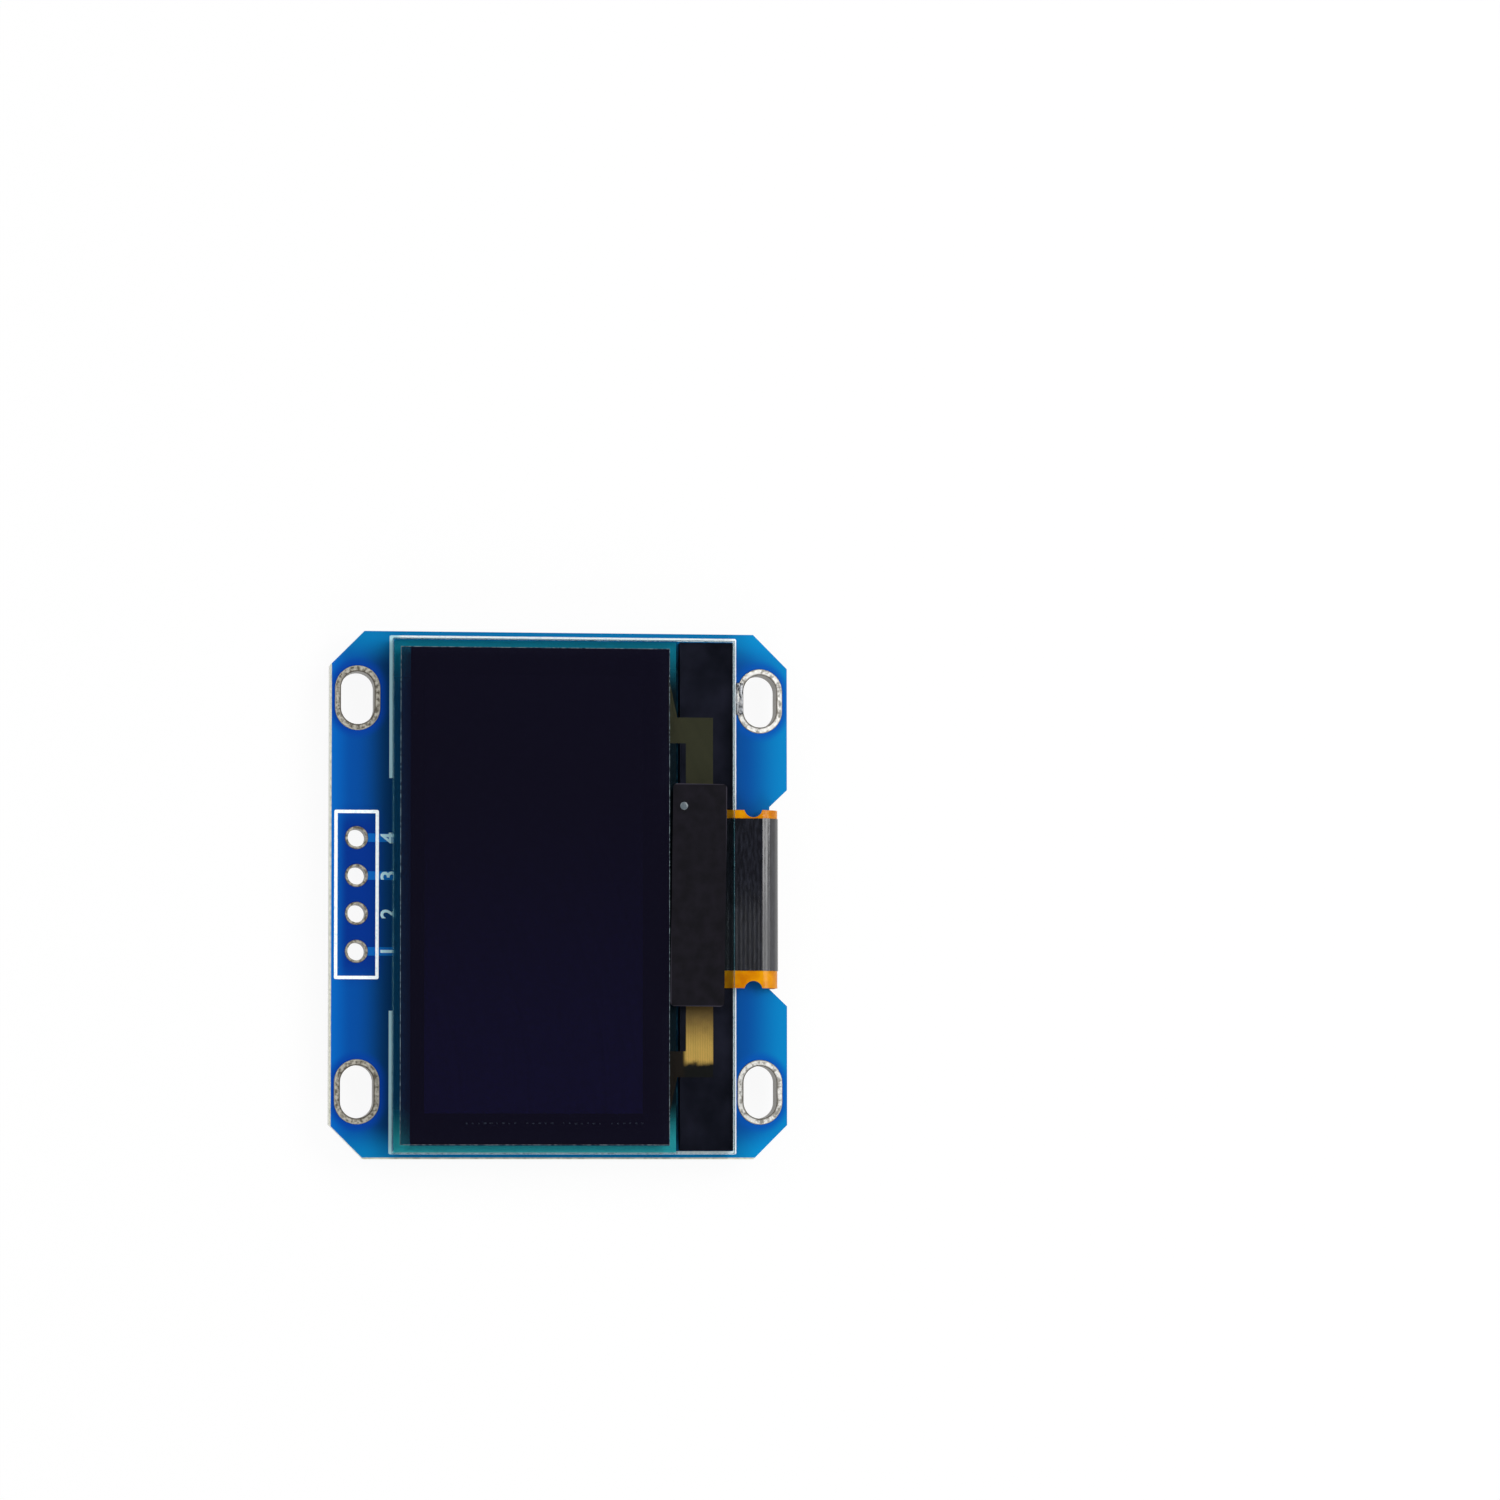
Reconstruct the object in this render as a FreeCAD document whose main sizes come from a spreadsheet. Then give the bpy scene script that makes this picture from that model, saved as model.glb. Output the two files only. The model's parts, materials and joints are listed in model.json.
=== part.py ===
import FreeCAD, Part
import math
import os
import re

import Sketcher

# Monochrome graphic display module: a glass panel on a plated, slotted circuit board.
# X runs along the board's long side, Y across it towards the pin holes, Z towards the viewer.
# The origin is the centre of the four mounting slots, on the board's back face.

size = {
    # display panel: two glasses, sealed all round, with a ledge of single glass
    "panelLength": 34.5,
    "panelWidth": 23.0,
    "ledgeWidth": 3.8,
    "frontGlassThick": 0.7,
    "glassChamfer": 0.06,
    "rearGlassThick": 0.5,
    "sealThick": 0.03,
    "sealWidth": 0.45,
    "sealWide": 1.1,
    "sealInset": 0.1,
    "recessDepth": 0.2,
    "recessGap": 0.05,
    "desiccantThick": 0.15,
    "panelTapeThick": 0.3,
    "panelTapeInset": 1.4,
    # light-emitting layers and polarizer, by their margins to the glass
    "activeEnd": 2.54,
    "activeShift": 0.17,
    "activePinSide": 2.15,
    "activeLedgeSide": 2.35,
    "filmLayer": 0.02,
    "polarizerEnd": 0.6,
    "polarizerPinSide": 0.47,
    "polarizerLedgeSide": 0.63,
    "polarizerThick": 0.2,
    # circuit board, by its margins round the panel
    "marginLow": 0.35,
    "marginHigh": 0.55,
    "marginFold": 3.75,
    "marginPins": 4.15,
    "boardThick": 1.6,
    "boardChamfer": 2.3,
    "notchGap": 0.15,
    "notchDepth": 1.2,
    "notchFlare": 1.15,
    # mounting slots: from the board's edges to their middle, open width and length, plating
    "slotEnd": 4.5,
    "slotSide": 1.85,
    "slotWidth": 2.25,
    "slotLength": 3.55,
    "slotRim": 0.405,
    "barrelWall": 0.05,
    "rimThick": 0.07,
    "rimBevel": 0.04,
    # four pin holes in a row
    "pinPitch": 2.54,
    "pinSide": 1.8,
    "pinHole": 1.2,
    "pinRim": 0.18,
    # white legend: a box round the pins and the outline of the panel
    "legendThick": 0.02,
    "legendLine": 0.22,
    "legendCorner": 0.12,
    "pinBoxEnd": 1.75,
    "pinBoxWidth": 2.77,
    "outlineEnd": 0.035,
    "outlineSide": 0.12,
    "outlineShift": 0.12,
    "outlineDrop": 0.06,
    "outlineGap": 15.6,
    # ledge: chip, traces, backing pad and light shield
    "chipLength": 10.4,
    "chipWidth": 1.0,
    "chipThick": 0.3,
    "chipInset": 2.35,
    "chipGap": 0.05,
    "traceInnerSide": 0.38,
    "traceOuterSide": 0.46,
    "traceShoulderInset": 6.89,
    "traceEndInset": 5.15,
    "traceReachInset": 2.25,
    "padEnd": 0.16,
    "padShift": 0.07,
    "padGap": 0.17,
    "padLip": 0.03,
    "shieldLength": 14.95,
    "shieldWidth": 3.65,
    "shieldShift": 0.12,
    "shieldGap": 0.145,
    "shieldThick": 0.1,
    "shieldCorner": 0.3,
    "shieldTurn": -0.8,
    # flexible circuit, folded through the board's edge notch to its back
    "flexWidth": 12.0,
    "flexShift": -0.1,
    "flexThick": 0.1,
    "flexOverlap": 1.1,
    "flexClear": 0.55,
    "flexTail": 2.82,
    "bondWidth": 0.4,
    "foldRadius": 1.2,
    "looseRadius": 0.5,
    "looseDrop": 0.5,
    "returnRadius": 1.0,
    "coverLow": 1.175,
    "coverHigh": 0.565,
    "coverThick": 0.04,
    "coverGap": 0.05,
    "reliefRadius": 0.62,
    "reliefOffset": 0.13,
    "reliefBack": 1.74,
    # soldered contacts of the flexible circuit
    "contactCount": 30,
    "contactPitch": 0.35,
    "contactWidth": 0.2,
    "contactLength": 0.9,
    "contactThick": 0.03,
    "landThick": 0.035,
    "landBehind": 1.2,
    "landAhead": 0.6,
    "filletReach": 0.3,
    # chip capacitors and resistors on the back, in rows
    "blockLength": 1.6,
    "blockWidth": 0.8,
    "capacitorHeight": 0.8,
    "resistorHeight": 0.45,
    "endBand": 0.32,
    "endSkin": 0.03,
    "blockChamfer": 0.05,
    "landWidth": 0.9,
    "landLength": 0.8,
    "landGap": 0.8,
    "jointReach": 0.28,
    "capacitorPitch": 2.4,
    "capacitorBack": 2.6,
    "resistorPitch": 2.4,
    "resistorBack": 3.4,
    "pullUpGap": 5.0,
    "pullUpBack": 3.65,
    # three-lead regulator with its capacitor, and two-lead diode, in a row of their own
    "powerBack": 9.45,
    "regulatorAlong": 9.0,
    "inputCapacitorGap": 3.6,
    "regulatorLength": 2.9,
    "regulatorWidth": 1.3,
    "regulatorHeight": 1.0,
    "leadWidth": 0.4,
    "leadThick": 0.13,
    "leadPitch": 1.9,
    "leadSpan": 2.5,
    "leadFoot": 0.4,
    "leadRise": 0.55,
    "leadSide": 0.12,
    "bodyGap": 0.08,
    "mouldDraft": 7,
    "diodeAlong": -9.0,
    "diodeLength": 1.7,
    "diodeWidth": 1.25,
    "diodeHeight": 0.9,
    "diodeLeadWidth": 0.35,
    "diodeSpan": 2.6,
}

# sizes and places that follow from those above
worked = {
    "boardLength": "panelLength + marginLow + marginHigh",
    "boardWidth": "panelWidth + marginFold + marginPins",
    "panelAlong": "(marginLow - marginHigh) / 2",
    "panelAcross": "(marginFold - marginPins) / 2",
    "panelLow": "panelAcross - panelWidth / 2",
    "panelHigh": "panelAcross + panelWidth / 2",
    "slotPitchAlong": "boardLength - 2 * slotEnd",
    "slotPitchAcross": "boardWidth - 2 * slotSide",
    "barrelWidth": "slotWidth + 2 * barrelWall",
    "barrelLength": "slotLength + 2 * barrelWall",
    "pinAcross": "boardWidth / 2 - pinSide",
    "pinBoxLength": "3 * pinPitch + 2 * pinBoxEnd",
    "outlineLength": "panelLength + 2 * outlineEnd",
    "outlineWidth": "panelWidth + 2 * outlineSide",
    "outlineAlong": "panelAlong + outlineShift",
    "outlineAcross": "panelAcross - outlineDrop",
    # heights of the stack above the board's back face
    "panelBase": "boardThick + panelTapeThick",
    "sealBase": "panelBase + rearGlassThick",
    "frontBase": "sealBase + sealThick",
    "frontTop": "frontBase + frontGlassThick",
    # rear glass, the seal round its edge and the hollow inside the seal
    "rearLow": "panelLow + ledgeWidth",
    "rearGlassWidth": "panelHigh - rearLow",
    "rearAcross": "(panelHigh + rearLow) / 2",
    "sealLength": "panelLength - 2 * sealInset",
    "sealSpan": "rearGlassWidth - 2 * sealInset",
    "recessLength": "sealLength - 2 * sealWidth",
    "recessSpan": "sealSpan - sealWidth - sealWide",
    "recessAcross": "rearAcross - (sealWide - sealWidth) / 2",
    # light-emitting layers and polarizer
    "activeLength": "panelLength - 2 * activeEnd",
    "activeWidth": "rearGlassWidth - activePinSide - activeLedgeSide",
    "activeAlong": "panelAlong + activeShift",
    "activeAcross": "rearAcross + (activeLedgeSide - activePinSide) / 2",
    "polarizerLength": "panelLength - 2 * polarizerEnd",
    "polarizerWidth": "rearGlassWidth - polarizerPinSide - polarizerLedgeSide",
    "polarizerAcross": "rearAcross + (polarizerLedgeSide - polarizerPinSide) / 2",
    "polarizerLow": "rearLow + polarizerLedgeSide",
    # ledge
    "chipAcross": "panelLow + chipInset",
    "traceInner": "chipAcross + chipWidth / 2 + traceInnerSide",
    "traceOuter": "chipAcross - chipWidth / 2 - traceOuterSide",
    "traceShoulder": "panelLength / 2 - traceShoulderInset",
    "traceEnd": "panelLength / 2 - traceEndInset",
    "traceReach": "panelLength / 2 - traceReachInset",
    "padLength": "panelLength - 2 * padEnd",
    "padEdge": "rearLow - padGap",
    "shieldAlong": "panelAlong + shieldShift",
    "shieldAcross": "polarizerLow - shieldGap - shieldWidth / 2",
    # flexible circuit, from under the ledge round the notch to the lands
    "flexAlong": "panelAlong + flexShift",
    "flexStart": "panelLow + flexOverlap",
    "flexReach": "notchDepth - boardWidth / 2 - flexClear",
    "flexEnd": "flexReach + flexTail",
    "flexMiddle": "frontBase - coverThick - flexThick / 2",
    "flexRest": "-landThick - flexThick / 2",
    "notchLength": "flexWidth + 2 * notchGap",
    "coverAlong": "flexAlong + (coverLow - coverHigh) / 2",
    "coverWidth": "flexWidth - coverLow - coverHigh",
    "coverStart": "flexStart - bondWidth - coverGap",
    "reliefAcross": "flexReach + reliefBack",
    "landStart": "flexEnd - landBehind",
    "landEnd": "flexEnd + landAhead",
    # rows of components on the back
    "capacitorRow": "landEnd + capacitorBack",
    "resistorRow": "capacitorRow + resistorBack",
    "pullUpRow": "pinAcross - pullUpBack",
    "powerRow": "pinAcross - powerBack",
    "inputCapacitorAlong": "regulatorAlong - inputCapacitorGap",
}

doc = FreeCAD.newDocument("DisplayModule")
sheet = doc.addObject("Spreadsheet::Sheet", "Sizes")
for row, (name, number) in enumerate(size.items(), start=1):
    sheet.set(f"A{row}", name)
    sheet.set(f"B{row}", str(number))
    sheet.setAlias(f"B{row}", name)
places = doc.addObject("App::VarSet", "Places")
doc.recompute()

parts = []


def spell(text):
    """Put the name of its holder before each size and place in an expression."""

    def word(found):
        name = found.group()
        if name in size:
            return "Sizes." + name
        return "Places." + name if name in worked else name

    return re.sub(r"[A-Za-z]\w*", word, text)


def bind(thing, place, text):
    thing.setExpression(place, spell(text))


for name, text in worked.items():
    places.addProperty("App::PropertyFloat", name)
    bind(places, name, text)
doc.recompute()


def keep(thing, label):
    """Note a finished sub-part under the name of its file."""
    thing.Label = label
    parts.append(thing)
    return thing


def newBody(label):
    body = doc.addObject("PartDesign::Body", label)
    return keep(body, label)


def originFeature(body, role):
    return next(item for item in body.Origin.OriginFeatures if item.Role == role)


def newSketch(body, name, plane="XY_Plane", height="0"):
    sketch = body.newObject("Sketcher::SketchObject", name)
    sketch.AttachmentSupport = [(originFeature(body, plane), "")]
    sketch.MapMode = "FlatFace"
    bind(sketch, "AttachmentOffset.Base.z", height)
    return sketch


def hold(sketch, kind, items, text):
    """Add one dimension to a sketch and bind it to an expression."""
    index = sketch.addConstraint(Sketcher.Constraint(kind, *items))
    bind(sketch, f"Constraints[{index}]", text)


def holdPoint(sketch, curve, point, now, across, up):
    hold(sketch, "DistanceX", (-1, 1, curve, point, now.x), across)
    hold(sketch, "DistanceY", (-1, 1, curve, point, now.y), up)


def polygon(sketch, corners):
    """Closed outline with each corner held by two expressions."""
    count = len(corners)
    first = sketch.GeometryCount
    turns = [2 * math.pi * step / count for step in range(count + 1)]
    spots = [FreeCAD.Vector(math.cos(turn), math.sin(turn), 0) for turn in turns]
    for step in range(count):
        sketch.addGeometry(Part.LineSegment(spots[step], spots[step + 1]), False)
    for step in range(count):
        after = first + (step + 1) % count
        sketch.addConstraint(Sketcher.Constraint("Coincident", first + step, 2, after, 1))
    for step, (across, up) in enumerate(corners):
        holdPoint(sketch, first + step, 1, spots[step], across, up)


def rectangle(sketch, lowX, highX, lowY, highY):
    polygon(sketch, [(lowX, lowY), (highX, lowY), (highX, highY), (lowX, highY)])


def centred(sketch, along, across, length, width):
    rectangle(
        sketch,
        f"{along} - ({length}) / 2",
        f"{along} + ({length}) / 2",
        f"{across} - ({width}) / 2",
        f"{across} + ({width}) / 2",
    )


def circle(sketch, along, across, radius):
    start = FreeCAD.Vector(0.5, 0.5, 0)
    index = sketch.addGeometry(Part.Circle(start, FreeCAD.Vector(0, 0, 1), 1), False)
    hold(sketch, "Radius", (index, 1.0), radius)
    holdPoint(sketch, index, 3, start, along, across)


def obround(sketch, along, across, length, width):
    """Slot outline, two half circles and two straight sides, long way along X."""
    first = sketch.GeometryCount
    up = FreeCAD.Vector(0, 0, 1)
    right = FreeCAD.Vector(2, 0.5, 0)
    left = FreeCAD.Vector(1, 0.5, 0)
    quarter = math.pi / 2
    rise = FreeCAD.Vector(0, 1, 0)
    sketch.addGeometry(Part.ArcOfCircle(Part.Circle(right, up, 1), -quarter, quarter), False)
    sketch.addGeometry(Part.LineSegment(right + rise, left + rise), False)
    sketch.addGeometry(Part.ArcOfCircle(Part.Circle(left, up, 1), quarter, 3 * quarter), False)
    sketch.addGeometry(Part.LineSegment(left - rise, right - rise), False)
    for step in range(4):
        after = first + (step + 1) % 4
        sketch.addConstraint(Sketcher.Constraint("Tangent", first + step, 2, after, 1))
    sketch.addConstraint(Sketcher.Constraint("Equal", first, first + 2))
    sketch.addConstraint(Sketcher.Constraint("Horizontal", first + 1))
    hold(sketch, "Radius", (first, 1.0), f"({width}) / 2")
    holdPoint(sketch, first, 3, right, f"{along} + ({length} - ({width})) / 2", across)
    far = f"{along} - ({length} - ({width})) / 2"
    hold(sketch, "DistanceX", (-1, 1, first + 2, 3, left.x), far)


def solidFeature(body, kind, sketch, name, length, backwards=False):
    feature = body.newObject("PartDesign::" + kind, name)
    feature.Profile = sketch
    feature.Reversed = backwards
    bind(feature, "Length", length)
    return feature


def pad(body, sketch, name, length, backwards=False):
    return solidFeature(body, "Pad", sketch, name, length, backwards)


def pocket(body, sketch, name, depth):
    """Cut away from the sketch's normal, and make sure that it took something off."""
    before = body.Tip
    doc.recompute()
    full = before.Shape.Volume
    feature = solidFeature(body, "Pocket", sketch, name, depth)
    doc.recompute()
    if not feature.Shape.Volume < full:
        raise RuntimeError(f"{name} cuts nothing")
    return feature


def dressUp(body, kind, name, measure, text, wanted):
    """Round or bevel the edges of the body's last feature that pass a test."""
    doc.recompute()
    base = body.Tip
    names = [f"Edge{n}" for n, edge in enumerate(base.Shape.Edges, 1) if wanted(edge)]
    feature = body.newObject("PartDesign::" + kind, name)
    feature.Base = (base, names)
    bind(feature, measure, text)
    return feature


def fillet(body, name, radius, wanted):
    return dressUp(body, "Fillet", name, "Radius", radius, wanted)


def chamfer(body, name, width, wanted):
    return dressUp(body, "Chamfer", name, "Size", width, wanted)


def upright(edge):
    box = edge.BoundBox
    return box.XLength < 1e-6 and box.YLength < 1e-6


def outerCorner(box):
    """Test for upright edges at the four corners of a box."""

    def wanted(edge):
        spot = edge.BoundBox
        alongGap = min(abs(spot.XMin - box.XMin), abs(spot.XMax - box.XMax))
        acrossGap = min(abs(spot.YMin - box.YMin), abs(spot.YMax - box.YMax))
        return upright(edge) and max(alongGap, acrossGap) < 1e-6

    return wanted


def flatAt(height):
    """Test for edges that lie level at one height."""
    return lambda edge: edge.BoundBox.ZLength < 1e-6 and abs(edge.BoundBox.ZMin - height) < 1e-6


def pattern(body, feature, name, step, count):
    """Repeat one feature along X."""
    row = body.newObject("PartDesign::LinearPattern", name)
    row.Originals = [feature]
    row.Direction = (originFeature(body, "X_Axis"), [""])
    bind(row, "Length", f"{step} * ({count} - 1)")
    bind(row, "Occurrences", count)
    body.Tip = row
    return row


def plate(label, along, across, length, width, base, thick):
    """Flat rectangular sheet, centred on two expressions."""
    body = newBody(label)
    sketch = newSketch(body, label + "Outline", height=base)
    centred(sketch, along, across, length, width)
    pad(body, sketch, label + "Sheet", thick)
    return body


def box(name, lowX, lowY, lowZ, length, width, height):
    solid = doc.addObject("Part::Box", name)
    bind(solid, "Length", length)
    bind(solid, "Width", width)
    bind(solid, "Height", height)
    bind(solid, "Placement.Base.x", lowX)
    bind(solid, "Placement.Base.y", lowY)
    bind(solid, "Placement.Base.z", lowZ)
    return solid


def gather(label, members):
    group = doc.addObject("Part::Compound", label)
    group.Links = members
    return keep(group, label)


slotSigns = ((1, 1), (1, -1), (-1, 1), (-1, -1))


def makeBoard():
    body = newBody("board")
    outline = newSketch(body, "boardOutline")
    endX, sideY = "boardLength / 2", "boardWidth / 2"
    lowNotch = "panelAlong - notchLength / 2"
    highNotch = "panelAlong + notchLength / 2"
    corners = [
        (f"-{endX} + boardChamfer", f"-{sideY}"),
        (f"{lowNotch} - notchFlare", f"-{sideY}"),
        (lowNotch, f"-{sideY} + notchDepth"),
        (highNotch, f"-{sideY} + notchDepth"),
        (f"{highNotch} + notchFlare", f"-{sideY}"),
        (f"{endX} - boardChamfer", f"-{sideY}"),
        (endX, f"-{sideY} + boardChamfer"),
        (endX, f"{sideY} - boardChamfer"),
        (f"{endX} - boardChamfer", sideY),
        (f"-{endX} + boardChamfer", sideY),
        (f"-{endX}", f"{sideY} - boardChamfer"),
        (f"-{endX}", f"-{sideY} + boardChamfer"),
    ]
    polygon(outline, corners)
    pad(body, outline, "boardSlab", "boardThick")
    slots = newSketch(body, "slotOutlines", height="boardThick")
    for alongSign, acrossSign in slotSigns:
        along = f"{alongSign} * slotPitchAlong / 2"
        across = f"{acrossSign} * slotPitchAcross / 2"
        obround(slots, along, across, "barrelLength", "barrelWidth")
    pocket(body, slots, "slotCuts", "boardThick")
    drill = newSketch(body, "pinHoleOutline", height="boardThick")
    circle(drill, "-1.5 * pinPitch", "pinAcross", "pinHole / 2 + barrelWall")
    hole = pocket(body, drill, "pinHoleCut", "boardThick")
    pattern(body, hole, "pinHoleRow", "pinPitch", "4")


def makeSlotPlating(number, alongSign, acrossSign):
    """Tinned barrel through one slot, with a rim on both faces that slopes at its edge."""
    label = f"slot_plating_{number}"
    body = newBody(label)
    bind(body, "Placement.Base.x", f"{alongSign} * slotPitchAlong / 2")
    bind(body, "Placement.Base.y", f"{acrossSign} * slotPitchAcross / 2")
    rims = (("back", "0", True), ("front", "boardThick", False))
    barrel = newSketch(body, label + "Barrel")
    obround(barrel, "0", "0", "barrelLength", "barrelWidth")
    pad(body, barrel, label + "Tube", "boardThick")
    for side, base, backwards in rims:
        outline = newSketch(body, f"{label}_{side}", height=base)
        obround(outline, "0", "0", "slotLength + 2 * slotRim", "slotWidth + 2 * slotRim")
        rim = pad(body, outline, f"{label}_{side}Rim", "rimThick", backwards)
        bind(rim, "TaperAngle", "-atan(rimBevel / rimThick)")
    opening = newSketch(body, label + "Opening", height="boardThick + rimThick")
    obround(opening, "0", "0", "slotLength", "slotWidth")
    pocket(body, opening, label + "Clear", "boardThick + 2 * rimThick")


def makePinPlating(number):
    """Turned eyelet of one pin hole, with a rim on both faces."""
    label = f"pin_plating_{number}"
    body = newBody(label)
    bind(body, "Placement.Base.x", f"({number} - 2.5) * pinPitch")
    bind(body, "Placement.Base.y", "pinAcross")
    profile = newSketch(body, label + "Profile", plane="XZ_Plane")
    bore, wall = "pinHole / 2", "pinHole / 2 + barrelWall"
    rim = "pinHole / 2 + pinRim"
    corners = [
        (bore, "-rimThick"),
        (f"{rim} - rimBevel", "-rimThick"),
        (rim, "0"),
        (wall, "0"),
        (wall, "boardThick"),
        (rim, "boardThick"),
        (f"{rim} - rimBevel", "boardThick + rimThick"),
        (bore, "boardThick + rimThick"),
    ]
    polygon(profile, corners)
    turned = body.newObject("PartDesign::Revolution", label + "Turned")
    turned.Profile = profile
    turned.ReferenceAxis = (profile, ["V_Axis"])
    turned.Angle = 360


def makeFrontLegend():
    """White print: the box round the pins and the outline of the panel, open at the pins."""
    body = newBody("front_legend")
    pinBox = newSketch(body, "pinBoxLine", height="boardThick")
    for change in ("+ legendLine", "- legendLine"):
        centred(pinBox, "0", "pinAcross", f"pinBoxLength {change}", f"pinBoxWidth {change}")
    pad(body, pinBox, "pinBoxPrint", "legendThick")
    doc.recompute()
    fillet(body, "pinBoxCorners", "legendCorner", outerCorner(body.Shape.BoundBox))
    line = newSketch(body, "panelOutlineLine", height="boardThick")
    gapLow, gapHigh = "outlineAlong - outlineGap / 2", "outlineAlong + outlineGap / 2"

    def corner(alongSign, acrossSign, change):
        along = f"outlineAlong {alongSign} (outlineLength {change} legendLine) / 2"
        across = f"outlineAcross {acrossSign} (outlineWidth {change} legendLine) / 2"
        return (along, across)

    def turn(change):
        return [corner(a, b, change) for a, b in (("-", "+"), ("-", "-"), ("+", "-"), ("+", "+"))]

    def gapEnd(along, change):
        return (along, corner("+", "+", change)[1])

    outer = [gapEnd(gapLow, "+"), *turn("+"), gapEnd(gapHigh, "+")]
    inner = [gapEnd(gapHigh, "-"), *reversed(turn("-")), gapEnd(gapLow, "-")]
    polygon(line, outer + inner)
    pad(body, line, "panelOutlinePrint", "legendThick")
    halfX = (places.outlineLength + size["legendLine"]) / 2
    halfY = (places.outlineWidth + size["legendLine"]) / 2
    lowest = (places.outlineAlong - halfX, places.outlineAcross - halfY, 0)
    highest = (places.outlineAlong + halfX, places.outlineAcross + halfY, 0)
    fillet(body, "panelOutlineCorners", "legendCorner", outerCorner(FreeCAD.BoundBox(*lowest, *highest)))


def makeTape():
    """Double-sided tape that holds the rear glass on the board."""
    length = "panelLength - 2 * panelTapeInset"
    width = "rearGlassWidth - 2 * panelTapeInset"
    plate("panel_tape", "panelAlong", "rearAcross", length, width, "boardThick", "panelTapeThick")


def makeRearGlass():
    """Cover glass behind the display layers, etched out for the desiccant."""
    where = ("panelAlong", "rearAcross", "panelLength", "rearGlassWidth")
    rear = plate("rear_glass", *where, "panelBase", "rearGlassThick")
    recess = newSketch(rear, "recessOutline", height="sealBase")
    centred(recess, "panelAlong", "recessAcross", "recessLength", "recessSpan")
    pocket(rear, recess, "recessCut", "recessDepth")
    gaps = "2 * recessGap"
    inside = ("panelAlong", "recessAcross", f"recessLength - {gaps}", f"recessSpan - {gaps}")
    plate("desiccant_sheet", *inside, "sealBase - recessDepth", "desiccantThick")


def makeSeal():
    """Glue bead between the two glasses, wider on the pin side, that flows over the traces."""
    seal = newBody("seal_bead")
    bead = newSketch(seal, "sealOutline", height="sealBase")
    centred(bead, "panelAlong", "rearAcross", "sealLength", "sealSpan")
    centred(bead, "panelAlong", "recessAcross", "recessLength", "recessSpan")
    pad(seal, bead, "sealBead", "sealThick")
    crossing = newSketch(seal, "crossingOutline", height="frontBase")
    low = "rearAcross - sealSpan / 2"
    for sign in (1, -1):
        middle = f"panelAlong + {sign} * (traceShoulder + traceReach) / 2"
        run = "traceReach - traceShoulder + 2 * recessGap"
        centred(crossing, middle, low, run, "3 * sealWidth")
    pocket(seal, crossing, "crossingCuts", "filmLayer")


def makeFrontGlass():
    """Carrier glass of the display, its light-emitting layers and the polarizer on its face."""
    active = ("activeAlong", "activeAcross", "activeLength", "activeWidth")
    plate("organic_stack", *active, "frontBase - filmLayer", "filmLayer")
    where = ("panelAlong", "panelAcross", "panelLength", "panelWidth")
    front = plate("front_glass", *where, "frontBase", "frontGlassThick")
    doc.recompute()
    chamfer(front, "glassEdge", "glassChamfer", flatAt(front.Shape.BoundBox.ZMax))
    film = ("panelAlong", "polarizerAcross", "polarizerLength", "polarizerWidth")
    plate("polarizer", *film, "frontTop", "polarizerThick")


def makeTraces():
    """Fan-out of thin metal under the ledge, from each end of the chip to the pixel rows."""
    for label, sign in (("fanout_high", 1), ("fanout_low", -1)):
        body = newBody(label)
        sketch = newSketch(body, label + "Outline", height="frontBase - filmLayer")
        edge = "polarizerAcross - polarizerWidth / 2"

        def at(along):
            return f"panelAlong + {sign} * ({along})"

        corners = [
            (at("chipLength / 2 + chipGap"), "traceOuter"),
            (at("traceEnd"), "traceOuter"),
            (at("traceEnd"), f"{edge} - (traceInner - traceOuter) / 3"),
            (at("traceReach"), edge),
            (at("traceShoulder"), edge),
            (at("traceShoulder"), "traceInner"),
            (at("chipLength / 2 + chipGap"), "traceInner"),
        ]
        polygon(sketch, corners)
        pad(body, sketch, label + "Layer", "filmLayer")


def makeChip():
    """Bare driver chip bonded face up under the ledge."""
    base = "frontBase - filmLayer - chipThick"
    plate("driver_chip", "panelAlong", "chipAcross", "chipLength", "chipWidth", base, "chipThick")


def makeLedgePad():
    """Black foam between the ledge and the board, with a well for the chip and a channel for the flex."""
    backing = newBody("ledge_pad")
    outline = newSketch(backing, "ledgePadOutline", height="boardThick")
    top = "frontBase - filmLayer"
    edge = "panelLow + padLip"
    lowX, highX = "panelAlong + padShift - padLength / 2", "panelAlong + padShift + padLength / 2"
    rectangle(outline, lowX, highX, edge, "padEdge")
    pad(backing, outline, "ledgePadBlock", f"{top} - boardThick")
    well = newSketch(backing, "chipWellOutline", height=top)
    centred(well, "panelAlong", "chipAcross", "chipLength + 2 * chipGap", "chipWidth + 2 * chipGap")
    pocket(backing, well, "chipWell", "chipThick + chipGap")
    channel = newSketch(backing, "flexChannelOutline", height=top)
    half = "(flexWidth / 2 + chipGap)"
    sides = (f"flexAlong - {half}", f"flexAlong + {half}")
    rectangle(channel, *sides, f"{edge} - chipGap", "flexStart + chipGap")
    pocket(backing, channel, "flexChannel", f"{top} - flexMiddle + flexThick / 2 + chipGap")


def makeBondStrip():
    """Conductive film that bonds the flex to the underside of the ledge."""
    where = ("flexAlong", "flexStart - bondWidth / 2", "flexWidth", "bondWidth")
    plate("bond_strip", *where, "frontBase - coverThick", "coverThick")


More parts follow.
